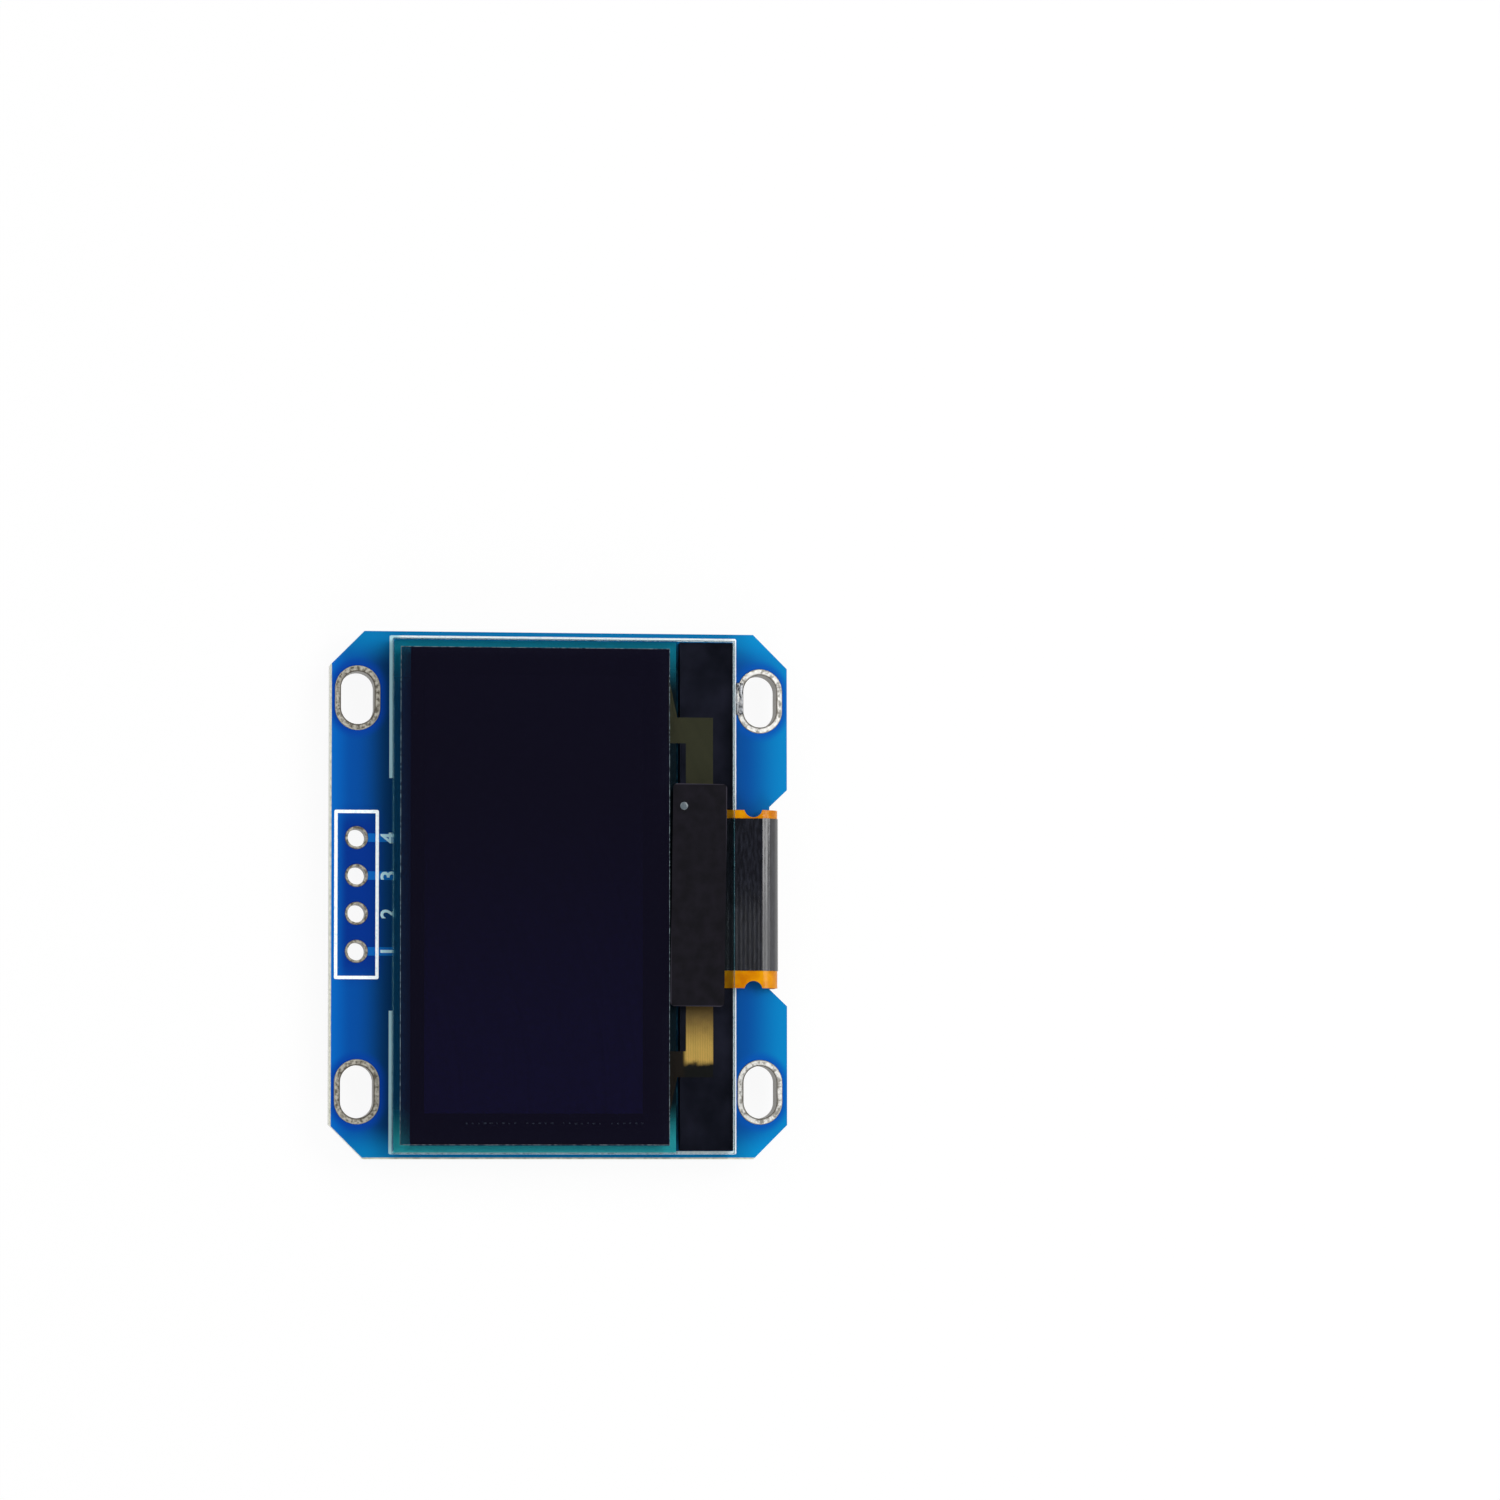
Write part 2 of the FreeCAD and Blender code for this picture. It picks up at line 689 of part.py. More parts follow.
def makeShield():
    """Light-tight tape on the front of the ledge, laid slightly askew over the chip."""
    shield = newBody("light_shield")
    shield.Placement.Rotation = FreeCAD.Rotation(FreeCAD.Vector(0, 0, 1), size["shieldTurn"])
    bind(shield, "Placement.Rotation.Angle", "shieldTurn")
    bind(shield, "Placement.Base.x", "shieldAlong")
    bind(shield, "Placement.Base.y", "shieldAcross")
    bind(shield, "Placement.Base.z", "frontTop")
    outline = newSketch(shield, "shieldOutline")
    centred(outline, "0", "0", "shieldLength", "shieldWidth")
    pad(shield, outline, "shieldSheet", "shieldThick")
    fillet(shield, "shieldCorners", "shieldCorner", upright)


def foldPath(body, name, start, end):
    """Side view of the fold: under the glass, round the board's edge and back up to the lands."""
    sketch = newSketch(body, name, plane="YZ_Plane")
    reach, fold, loose = places.flexReach, size["foldRadius"], size["looseRadius"]
    top, rest = places.flexMiddle, places.flexRest
    low, gentle = -size["looseDrop"], size["returnRadius"]
    swing = math.acos(1 - (rest - low) / (2 * gentle))
    quarter = math.pi / 2

    def at(y, z):
        return FreeCAD.Vector(y, z, 0)

    def arc(middle, radius, begin, finish):
        return Part.ArcOfCircle(Part.Circle(middle, FreeCAD.Vector(0, 0, 1), radius), begin, finish)

    settle = reach + loose + 2 * gentle * math.sin(swing)
    curves = [
        Part.LineSegment(at(places.flexStart, top), at(reach + fold, top)),
        arc(at(reach + fold, top - fold), fold, quarter, 2 * quarter),
        Part.LineSegment(at(reach, top - fold), at(reach, low + loose)),
        arc(at(reach + loose, low + loose), loose, 2 * quarter, 3 * quarter),
        arc(at(reach + loose, low + gentle), gentle, 3 * quarter, 3 * quarter + swing),
        arc(at(settle, rest - gentle), gentle, quarter, quarter + swing),
        Part.LineSegment(at(settle, rest), at(places.flexEnd, rest)),
    ]
    for curve in curves:
        sketch.addGeometry(curve, False)
    joins = [(0, 2, 1, 1), (1, 2, 2, 1), (2, 2, 3, 1), (3, 2, 4, 1), (4, 2, 5, 2), (5, 1, 6, 1)]
    for join in joins:
        sketch.addConstraint(Sketcher.Constraint("Tangent", *join))
    sketch.addConstraint(Sketcher.Constraint("Horizontal", 0))
    sketch.addConstraint(Sketcher.Constraint("Vertical", 2))
    sketch.addConstraint(Sketcher.Constraint("Vertical", 3, 2, 3, 3))
    sketch.addConstraint(Sketcher.Constraint("Equal", 4, 5))
    sketch.addConstraint(Sketcher.Constraint("Horizontal", 6))
    holdPoint(sketch, 0, 1, at(places.flexStart, top), start, "flexMiddle")
    hold(sketch, "Radius", (1, fold), "foldRadius")
    hold(sketch, "DistanceX", (-1, 1, 2, 1, reach), "flexReach")
    hold(sketch, "Radius", (3, loose), "looseRadius")
    hold(sketch, "DistanceY", (-1, 1, 3, 2, low), "-looseDrop")
    hold(sketch, "Radius", (4, gentle), "returnRadius")
    holdPoint(sketch, 6, 2, at(places.flexEnd, rest), end, "flexRest")
    return sketch


def makeFlex():
    """Amber carrier film with two relief notches, and the dark cover film outside it."""
    film = newBody("flex_film")
    spine = foldPath(film, "filmPath", "flexStart", "flexEnd")
    section = newSketch(film, "filmSection", plane="XZ_Plane", height="-flexStart")
    centred(section, "flexAlong", "flexMiddle", "flexWidth", "flexThick")
    sweep(film, "filmSweep", section, spine)
    relief = newSketch(film, "reliefOutline", height="frontBase")
    edgeOffset = "(flexWidth / 2 + reliefOffset)"
    circle(relief, f"flexAlong + {edgeOffset}", "reliefAcross", "reliefRadius")
    circle(relief, f"flexAlong - {edgeOffset}", "reliefAcross", "reliefRadius")
    pocket(film, relief, "reliefCuts", "foldRadius / 2")
    cover = newBody("flex_coverlay")
    coverSpine = foldPath(cover, "coverPath", "coverStart", "flexEnd - contactLength - coverGap")
    coverSection = newSketch(cover, "coverSection", plane="XZ_Plane", height="-coverStart")
    middle = "flexMiddle + (flexThick + coverThick) / 2"
    centred(coverSection, "coverAlong", middle, "coverWidth", "coverThick")
    sweep(cover, "coverSweep", coverSection, coverSpine)


def sweep(body, name, section, spine):
    feature = body.newObject("PartDesign::AdditivePipe", name)
    feature.Profile = section
    feature.Spine = (spine, [])
    return feature


def contactRow(label, corners):
    """Row of like contacts: one side view, as wide as a contact, repeated at the contact pitch."""
    body = newBody(label)
    firstSide = "coverAlong - contactPitch * (contactCount - 1) / 2 - contactWidth / 2"
    sketch = newSketch(body, label + "Side", plane="YZ_Plane", height=firstSide)
    polygon(sketch, corners)
    one = pad(body, sketch, label + "First", "contactWidth")
    doc.recompute()
    pattern(body, one, label + "Row", "contactPitch", "contactCount")


def makeContacts():
    """Lands on the board, tinned fingers on the film's end, and the solder that joins them."""
    face = "-landThick - flexThick"
    under = f"{face} - contactThick"
    root = "flexEnd - contactLength"
    land = [("landStart", "0"), ("landEnd", "0"), ("landEnd", "-landThick"), ("landStart", "-landThick")]
    contactRow("board_lands", land)
    contactRow("flex_fingers", [(root, face), ("flexEnd", face), ("flexEnd", under), (root, under)])
    toe = ("flexEnd + filletReach", "-landThick")
    contactRow("flex_solder", [("flexEnd", "-landThick"), toe, ("flexEnd", under)])


lands = []
joints = []
capacitorEnds = []
resistorEnds = []


def makeLand(name, along, across, length, width):
    """Tinned land under one lead or end cap, listed by its middle."""
    corner = (f"{along} - ({length}) / 2", f"{across} - ({width}) / 2", "-landThick")
    lands.append(box(name, *corner, length, width, "landThick"))


def makeJoint(name, along, face, sign, width, height):
    """Wedge of solder from a land up the end face of a lead, outwards along Y."""
    wedge = doc.addObject("Part::Wedge", name)
    half = f"({width}) / 2"
    toe = f"{sign} * jointReach"
    spans = {
        "Xmin": f"-{half}",
        "Xmax": half,
        "X2min": f"-{half}",
        "X2max": half,
        "Ymin": "0",
        "Ymax": height,
        "Zmin": toe if sign < 0 else "0",
        "Zmax": "0" if sign < 0 else toe,
        "Z2min": "0",
        "Z2max": "0",
    }
    for place, text in spans.items():
        bind(wedge, place, text)
    wedge.Placement.Rotation = FreeCAD.Rotation(FreeCAD.Vector(1, 0, 0), -90)
    bind(wedge, "Placement.Base.x", along)
    bind(wedge, "Placement.Base.y", face)
    bind(wedge, "Placement.Base.z", "-landThick")
    joints.append(wedge)


def makeBlock(label, along, across, height, ends):
    """Chip component with its long side along Y: a bevelled block and a wrapped cap at each end."""
    base = f"-landThick - endSkin - {height}"
    block = plate(label, along, across, "blockWidth", "blockLength", base, height)
    chamfer(block, label + "Edges", "blockChamfer", lambda edge: edge.BoundBox.YLength > 1e-6)
    for side, sign in (("near", 1), ("far", -1)):
        name = f"{label}_{side}"
        reach = f"{sign} * (blockLength / 2 + endSkin)"
        start = f"{across} + {reach}" if sign < 0 else f"{across} + {reach} - endBand"
        corner = (f"{along} - blockWidth / 2 - endSkin", start, f"{base} - endSkin")
        cap = box(name + "Outer", *corner, "blockWidth + 2 * endSkin", "endBand", f"{height} + 2 * endSkin")
        shell = doc.addObject("Part::Cut", name + "Cap")
        shell.Base = cap
        shell.Tool = block
        ends.append(shell)
        middle = f"{across} + {sign} * (landGap + landLength) / 2"
        makeLand(name + "Land", along, middle, "landWidth", "landLength")
        makeJoint(name + "Joint", along, f"{across} + {reach}", sign, "blockWidth", f"{height} / 2")


def makeBlocks():
    for number in range(1, 7):
        along = f"({number} - 3.5) * capacitorPitch"
        makeBlock(f"capacitor_{number}", along, "capacitorRow", "capacitorHeight", capacitorEnds)
    makeBlock("capacitor_7", "inputCapacitorAlong", "powerRow", "capacitorHeight", capacitorEnds)
    for number in range(1, 5):
        along = f"({number} - 2.5) * resistorPitch"
        makeBlock(f"resistor_{number}", along, "resistorRow", "resistorHeight", resistorEnds)
    for number, sign in ((5, -1), (6, 1)):
        along = f"{sign} * pullUpGap / 2"
        makeBlock(f"resistor_{number}", along, "pullUpRow", "resistorHeight", resistorEnds)


def makeMoulded(label, along, across, length, width, height):
    """Moulded body, drafted both ways from the parting line where the leads come out."""
    body = newBody(label)
    line = newSketch(body, label + "Parting", height="-landThick - leadRise")
    centred(line, along, across, length, width)
    boardSide = pad(body, line, label + "BoardSide", "leadRise - bodyGap")
    outerSide = pad(body, line, label + "OuterSide", f"{height} + bodyGap - leadRise", True)
    bind(boardSide, "TaperAngle", "-mouldDraft")
    bind(outerSide, "TaperAngle", "-mouldDraft")


def gullWing(body, along, across, sign, shell, span, width):
    """Bent lead from the parting line to its foot on the land, seen along X, with its land and solder."""
    middle = "-landThick - leadRise"
    knee = f"{span} / 2 - leadFoot"
    rows = [
        (f"{shell} / 2", f"{middle} - leadThick / 2"),
        (f"{knee} + leadThick", f"{middle} - leadThick / 2"),
        (f"{knee} + leadThick", "-landThick - leadThick"),
        (f"{span} / 2", "-landThick - leadThick"),
        (f"{span} / 2", "-landThick"),
        (knee, "-landThick"),
        (knee, f"{middle} + leadThick / 2"),
        (f"{shell} / 2", f"{middle} + leadThick / 2"),
    ]
    tag = f"{body.Label}_{len(body.Group)}"
    sketch = newSketch(body, tag, plane="YZ_Plane", height=f"{along} - {width} / 2")
    polygon(sketch, [(f"{across} + {sign} * ({out})", up) for out, up in rows])
    pad(body, sketch, tag + "Bend", width)
    foot = f"{across} + {sign} * ({span} - leadFoot) / 2"
    makeLand(tag + "Land", along, foot, f"{width} + leadSide", "leadFoot + 2 * leadSide")
    makeJoint(tag + "Joint", along, f"{across} + {sign} * {span} / 2", sign, width, "leadThick")


def makeRegulator():
    place = ("regulatorAlong", "powerRow")
    makeMoulded("regulator_body", *place, "regulatorLength", "regulatorWidth", "regulatorHeight")
    leads = newBody("regulator_leads")
    shape = ("regulatorWidth", "leadSpan", "leadWidth")
    gullWing(leads, *place, 1, *shape)
    for side in ("-", "+"):
        gullWing(leads, f"regulatorAlong {side} leadPitch / 2", "powerRow", -1, *shape)


def makeDiode():
    place = ("diodeAlong", "powerRow")
    makeMoulded("diode_body", *place, "diodeWidth", "diodeLength", "diodeHeight")
    leads = newBody("diode_leads")
    for sign in (1, -1):
        gullWing(leads, *place, sign, "diodeLength", "diodeSpan", "diodeLeadWidth")


makeBoard()
for number, signs in enumerate(slotSigns, start=1):
    makeSlotPlating(number, *signs)
for number in range(1, 5):
    makePinPlating(number)
makeFrontLegend()
makeTape()
makeRearGlass()
makeSeal()
makeFrontGlass()
makeTraces()
makeChip()
makeLedgePad()
makeBondStrip()
makeShield()
makeFlex()
makeContacts()
makeBlocks()
makeRegulator()
makeDiode()
gather("capacitor_ends", capacitorEnds)
gather("resistor_ends", resistorEnds)
gather("component_lands", lands)
gather("component_solder", joints)
doc.recompute()

for item in doc.Objects:
    if "Invalid" in item.State or "Error" in item.State:
        raise RuntimeError(f"{item.Label} is not sound: {item.State}")
for part in parts:
    if part.Shape.isNull() or not part.Shape.isValid():
        raise RuntimeError(f"{part.Label} has no sound shape")

os.makedirs("parts", exist_ok=True)
for part in parts:
    part.Shape.exportStep(f"parts/{part.Label}.step")
print(len(parts), "parts written")
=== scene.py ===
import json
import math
import random

import bmesh
import bpy
from mathutils import Matrix, Vector


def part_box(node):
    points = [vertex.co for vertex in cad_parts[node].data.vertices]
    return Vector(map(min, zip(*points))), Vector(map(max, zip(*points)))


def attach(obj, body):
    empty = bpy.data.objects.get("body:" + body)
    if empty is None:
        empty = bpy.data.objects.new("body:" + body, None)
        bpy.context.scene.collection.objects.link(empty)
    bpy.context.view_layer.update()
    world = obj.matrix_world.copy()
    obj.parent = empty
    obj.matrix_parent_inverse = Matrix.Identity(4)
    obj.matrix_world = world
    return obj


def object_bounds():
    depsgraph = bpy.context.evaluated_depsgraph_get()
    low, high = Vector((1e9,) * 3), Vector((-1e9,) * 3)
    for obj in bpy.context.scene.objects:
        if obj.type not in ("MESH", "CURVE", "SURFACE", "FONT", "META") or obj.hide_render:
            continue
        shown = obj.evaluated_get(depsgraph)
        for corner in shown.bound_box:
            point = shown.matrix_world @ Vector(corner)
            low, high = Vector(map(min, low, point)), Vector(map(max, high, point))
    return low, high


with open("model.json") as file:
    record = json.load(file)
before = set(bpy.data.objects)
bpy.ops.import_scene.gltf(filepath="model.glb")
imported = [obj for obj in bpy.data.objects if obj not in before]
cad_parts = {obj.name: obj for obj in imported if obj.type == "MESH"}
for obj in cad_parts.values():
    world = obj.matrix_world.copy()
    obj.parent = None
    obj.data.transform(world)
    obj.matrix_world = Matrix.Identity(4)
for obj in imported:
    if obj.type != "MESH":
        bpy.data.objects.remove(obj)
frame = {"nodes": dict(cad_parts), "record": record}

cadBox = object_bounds()
scene = bpy.context.scene
mm = 0.001                       # the frame is in metres, the sizes below are in millimetres
random.seed(21)


def toLinear(hexText):
    # an sRGB hex colour as the linear colour that a shader takes
    values = []
    for start in (1, 3, 5):
        part = int(hexText[start:start + 2], 16) / 255
        values.append(part / 12.92 if part <= 0.04045 else ((part + 0.055) / 1.055) ** 2.4)
    return (*values, 1.0)


def addNode(tree, kind, settings):
    # a setting that is another node's output is linked, any other is a property or a socket's value
    node = tree.nodes.new(kind)
    for key, value in settings.items():
        if isinstance(value, bpy.types.NodeSocket):
            tree.links.new(value, node.inputs[key])
        elif isinstance(key, str) and key in node.bl_rna.properties:
            setattr(node, key, value)
        else:
            node.inputs[key].default_value = value
    return node


def newFinish(name, colour, roughness, metallic=0.0, shine=0.5):
    # the start of each finish: a principled shader on its output, and the piece's own place
    material = bpy.data.materials.new(name)
    material.use_nodes = True
    tree = material.node_tree
    tree.nodes.clear()
    shader = addNode(tree, "ShaderNodeBsdfPrincipled",
                     {"Base Color": toLinear(colour), "Roughness": roughness, "Metallic": metallic,
                      "Specular IOR Level": shine})
    addNode(tree, "ShaderNodeOutputMaterial", {"Surface": shader.outputs[0]})
    place = addNode(tree, "ShaderNodeTexCoord", {}).outputs["Object"]
    return material, tree, shader, place


def mottle(tree, place, lumpMm, dark, pale, low=0.35, high=0.65, stretch=(1, 1, 1)):
    # lumps about lumpMm across, from a dark colour to a pale one; gives the colour and the lumps
    spread = addNode(tree, "ShaderNodeMapping", {"Vector": place, "Scale": stretch})
    lumps = addNode(tree, "ShaderNodeTexNoise",
                    {"Vector": spread.outputs[0], "Scale": 1 / (lumpMm * mm), "Detail": 3.0})
    share = addNode(tree, "ShaderNodeMapRange",
                    {"Value": lumps.outputs["Fac"], "From Min": low, "From Max": high})
    tone = addNode(tree, "ShaderNodeMix",
                   {"data_type": "RGBA", 0: share.outputs[0], 6: toLinear(dark), 7: toLinear(pale)})
    return tone.outputs[2], lumps.outputs["Fac"]


def surface(tree, shader, tone, height=None, depthMm=0.0, strength=1.0):
    # the colour all over a piece and, where a height is given, its unevenness of about depthMm
    tree.links.new(tone, shader.inputs["Base Color"])
    if height is not None:
        bump = addNode(tree, "ShaderNodeBump",
                       {"Height": height, "Distance": depthMm * mm, "Strength": strength})
        tree.links.new(bump.outputs[0], shader.inputs["Normal"])


def fade(tree, value, first, last, under, over, unit=mm):
    # goes from one colour to another while a value grows from first to last, in millimetres
    share = addNode(tree, "ShaderNodeMapRange",
                    {"interpolation_type": "SMOOTHSTEP", "Value": value,
                     "From Min": first * unit, "From Max": last * unit})
    tone = addNode(tree, "ShaderNodeMix", {"data_type": "RGBA", 0: share.outputs[0], 6: under, 7: over})
    return tone.outputs[2]


def bandScale(pitchMm):
    # the wave pattern's scale that puts its bands pitchMm apart
    return 2 * math.pi / (20 * pitchMm * mm)


# Finishes of the board

maskLook = {
    "shadeByPanel": "#00386C",        # painted shade on the pin side of the panel
    "field": "#004A9C",          # the open field on that side, between the painted shade and the painted sheen
    "byPins": "#0063BC",         # painted sheen along the edge beside the pins
    "pinRow": "#003088",         # over the copper between the pins
    "byFold": "#004F9E",         # painted shade on the fold side of the panel
    "sheenByNotch": "#007EBE",      # painted sheen along the edge with the notch
    "sheenAtEnds": "#0074B0",         # painted sheen above and below the panel
    "sheenAtFoldEnds": "#008CCC",       # brighter painted sheen at the two corners past the notch
    "bySlots": "#003E9C",        # over the copper round the slots by the pins
    "byFoldSlots": "#0052AE",    # and round the other two
    "halo": 0.7,                 # how far that copper reaches past the rims, mm
    "back": "#0054A8",
    "bareRim": 0.11,             # where the lacquer stops short of the sawn edge, mm
    "overCopper": "#0A74CC",
    "fibre": "#D2D2C2",          # the sawn glass-fibre edge
    "fibreDark": "#AEB2A2",
    "skin": 0.04,                # the lacquer's height on the sawn edge, mm
    "orangePeel": 0.9,           # width of the lacquer's waves, mm
    "edgeBlur": 0.02,            # how softly lacquer ends on fibre, mm
    "copperShow": 0.6,           # how much of its own tone the copper gives
}

maskReach = {                    # where each tone starts and ends, mm: the painted shade and sheen, the copper and the back
    "offPanel": (0.2, 2.7),      # away from the panel on the pin side
    "toPins": (2.6, 4.2),
    "offPanelByPins": (0.2, 1.5),
    "pastPinRow": (2.9, 4.1),
    "pinRowEnds": (4.4, 6.4),    # along the board from its middle
    "atLedge": (-0.4, 0.0),      # away from the panel on the fold side
    "toNotch": (0.8, 3.8),
    "toFoldEnds": (-0.4, 2.6),
    "offEnds": (2.4, 0.2),       # in from the board's two ends
    "throughBoard": (0.2, 0.5),
    "foldToPins": (-1.0, 1.0),
}


def fromSlots(tree, axes):
    # how far a point is from the straight middle line of the nearest slot, and the rim's own reach
    low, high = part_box("slot_plating_1")
    middle = (low + high) / 2
    rim = (high.y - low.y) / 2
    run = (high.x - low.x) / 2 - rim
    sideways = []
    for name, centre in (("X", middle.x), ("Y", middle.y)):
        away = addNode(tree, "ShaderNodeMath", {"operation": "ABSOLUTE", 0: axes.outputs[name]})
        away = addNode(tree, "ShaderNodeMath", {"operation": "SUBTRACT", 0: away.outputs[0], 1: centre})
        sideways.append(addNode(tree, "ShaderNodeMath", {"operation": "ABSOLUTE", 0: away.outputs[0]}))
    past = addNode(tree, "ShaderNodeMath", {"operation": "SUBTRACT", 0: sideways[0].outputs[0], 1: run})
    past = addNode(tree, "ShaderNodeMath", {"operation": "MAXIMUM", 0: past.outputs[0], 1: 0.0})
    spoke = addNode(tree, "ShaderNodeCombineXYZ", {0: past.outputs[0], 1: sideways[1].outputs[0]})
    reach = addNode(tree, "ShaderNodeVectorMath", {"operation": "LENGTH", 0: spoke.outputs[0]})
    return reach.outputs["Value"], rim / mm


def maskTone(tree, place):
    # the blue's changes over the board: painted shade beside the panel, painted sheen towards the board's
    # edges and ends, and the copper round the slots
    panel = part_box("front_glass")
    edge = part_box("board")[1].x / mm
    look = {name: toLinear(value) for name, value in maskLook.items() if isinstance(value, str)}
    axes = addNode(tree, "ShaderNodeSeparateXYZ", {0: place})
    x, y = axes.outputs["X"], axes.outputs["Y"]
    pinSide = addNode(tree, "ShaderNodeMath", {"operation": "SUBTRACT", 0: y, 1: panel[1].y}).outputs[0]
    foldSide = addNode(tree, "ShaderNodeMath", {"operation": "SUBTRACT", 0: panel[0].y, 1: y}).outputs[0]
    tone = fade(tree, pinSide, *maskReach["offPanel"], look["shadeByPanel"], look["field"])
    tone = fade(tree, pinSide, *maskReach["toPins"], tone, look["byPins"])
    alongAway = addNode(tree, "ShaderNodeMath", {"operation": "ABSOLUTE", 0: x})
    boxed = fade(tree, pinSide, *maskReach["offPanelByPins"], look["shadeByPanel"], look["pinRow"])
    boxed = fade(tree, pinSide, *maskReach["pastPinRow"], boxed, look["byPins"])
    tone = fade(tree, alongAway.outputs[0], *maskReach["pinRowEnds"], boxed, tone)
    tone = fade(tree, foldSide, *maskReach["atLedge"], tone, look["byFold"])
    tone = fade(tree, foldSide, *maskReach["toNotch"], tone, look["sheenByNotch"])
    ends = fade(tree, foldSide, *maskReach["toFoldEnds"], look["sheenAtEnds"], look["sheenAtFoldEnds"])
    first, last = maskReach["offEnds"]
    tone = fade(tree, alongAway.outputs[0], edge - first, edge - last, tone, ends)
    tone = fade(tree, axes.outputs["Z"], *maskReach["throughBoard"], look["back"], tone)
    copper = fade(tree, y, *maskReach["foldToPins"], look["byFoldSlots"], look["bySlots"])
    reach, rim = fromSlots(tree, axes)
    return fade(tree, reach, rim, rim + maskLook["halo"], copper, tone), axes


def solderMask(name, overCopper=False):
    # Blue solder mask over glass-fibre epoxy: a glossy, slightly wavy lacquer on the two faces, and
    # pale matt fibre on the sawn edges; over copper it looks paler
    material, tree, shader, place = newFinish(name, maskLook["field"], 0.22, shine=0.2)
    tone, axes = maskTone(tree, place)
    waves = mottle(tree, place, maskLook["orangePeel"], "#000000", "#FFFFFF")[1]
    if overCopper:
        tone = addNode(tree, "ShaderNodeMix",
                       {"data_type": "RGBA", 0: maskLook["copperShow"], 6: tone,
                        7: toLinear(maskLook["overCopper"])}).outputs[2]
    else:
        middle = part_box("board")[1].z / 2
        height = addNode(tree, "ShaderNodeMath",
                         {"operation": "SUBTRACT", 0: axes.outputs["Z"], 1: middle})
        height = addNode(tree, "ShaderNodeMath", {"operation": "ABSOLUTE", 0: height.outputs[0]})
        fibre = mottle(tree, place, 0.35, maskLook["fibreDark"], maskLook["fibre"], 0.3, 0.6, (1, 1, 5))[0]
        blur, bare = maskLook["edgeBlur"], maskLook["bareRim"]
        lacquerFoot = middle / mm - maskLook["skin"]
        tone = fade(tree, height.outputs[0], lacquerFoot - blur, lacquerFoot + blur, fibre, tone)
        low, high = [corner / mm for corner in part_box("board")]
        tone = fade(tree, axes.outputs["Y"], high.y - bare - blur, high.y - bare + blur, tone, fibre)
        tone = fade(tree, axes.outputs["X"], low.x + bare - blur, low.x + bare + blur, fibre, tone)
    surface(tree, shader, tone, waves, 0.006, 0.2)
    return material


slotTinLook = {
    "foldDark": "#A09C94",       # the two slots on the fold's side catch more light
    "foldPale": "#FFFDF8",
    "foldToPins": (-2.0, 2.0),   # mm across the board
    "rimWide": 0.405,            # mm
    "barrelEdge": (0.02, 0.14),  # where the painted hole shade reaches onto the rim, from the bore outwards, mm
    "brightLine": "#E6E0C4",     # along the rim's outer edge
    "lineFrom": 0.09,            # mm inside that edge
    "lineTo": 0.03,
}
wallShade = (0.3, 0.75)          # how level a face is, from the painted shade down in the holes to the plain tone


def levelness(tree):
    # 1 on the faces that look up or down, 0 on upright ones
    facing = addNode(tree, "ShaderNodeNewGeometry", {}).outputs["Normal"]
    upright = addNode(tree, "ShaderNodeSeparateXYZ", {0: facing}).outputs["Z"]
    return addNode(tree, "ShaderNodeMath", {"operation": "ABSOLUTE", 0: upright}).outputs[0]


def tinPlate(name, dark, pale, holeShade, aroundSlots=False):
    # Hot-levelled tin on copper: a soft grey metal that froze in small uneven lumps, with painted
    # brown shade down in the holes; round the slots its outer rim is a thin pale line
    material, tree, shader, place = newFinish(name, pale, 0.38, 0.55)
    tone, lumps = mottle(tree, place, 0.24, dark, pale, 0.38, 0.6)
    if aroundSlots:
        axes = addNode(tree, "ShaderNodeSeparateXYZ", {0: place})
        reach, rim = fromSlots(tree, axes)
        look = slotTinLook
        foldTone = mottle(tree, place, 0.3, look["foldDark"], look["foldPale"], 0.36, 0.54)[0]
        tone = fade(tree, axes.outputs["Y"], *look["foldToPins"], foldTone, tone)
        first, last = [rim - look["rimWide"] + step for step in look["barrelEdge"]]
        tone = fade(tree, reach, first, last, toLinear(holeShade), tone)
        first, last = rim - look["lineFrom"], rim - look["lineTo"]
        tone = fade(tree, reach, first, last, tone, toLinear(look["brightLine"]))
    shadedHollow = mottle(tree, place, 0.3, holeShade, dark, 0.35, 0.7)[0]
    tone = fade(tree, levelness(tree), *wallShade, shadedHollow, tone, 1)
    surface(tree, shader, tone, lumps, 0.03, 0.6)
    return material


inkLook = {
    "dark": "#D8ECF6",
    "pale": "#F8FEFF",
    "blued": "#B4DEE8",          # painted blue cast from the glass, where it runs close to the panel
    "bluedFrom": 0.5,            # mm from the panel's edge inwards
    "bluedTo": 0.75,             # and outwards
    "outerBlur": 0.15,
    "innerBlur": 0.2,
}


def legendInk(name):
    # Screen-printed epoxy ink: matt white, thin enough to take a little blue, with a painted blue cast from
    # the glass by the panel
    material, tree, shader, place = newFinish(name, "#EEF8FC", 0.6, shine=0.3)
    axes = addNode(tree, "ShaderNodeSeparateXYZ", {0: place})
    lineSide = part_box("front_glass")[1].y / mm
    tone = mottle(tree, place, 0.2, inkLook["dark"], inkLook["pale"], 0.28, 0.5)[0]
    line, blur = lineSide + inkLook["bluedTo"], inkLook["outerBlur"]
    front = fade(tree, axes.outputs["Y"], line - blur, line + blur, toLinear(inkLook["blued"]), tone)
    line, blur = lineSide - inkLook["bluedFrom"], inkLook["innerBlur"]
    front = fade(tree, axes.outputs["Y"], line - blur, line + blur, tone, front)
    tone = fade(tree, axes.outputs["Z"], *maskReach["throughBoard"], tone, front)
    surface(tree, shader, tone)
    return material


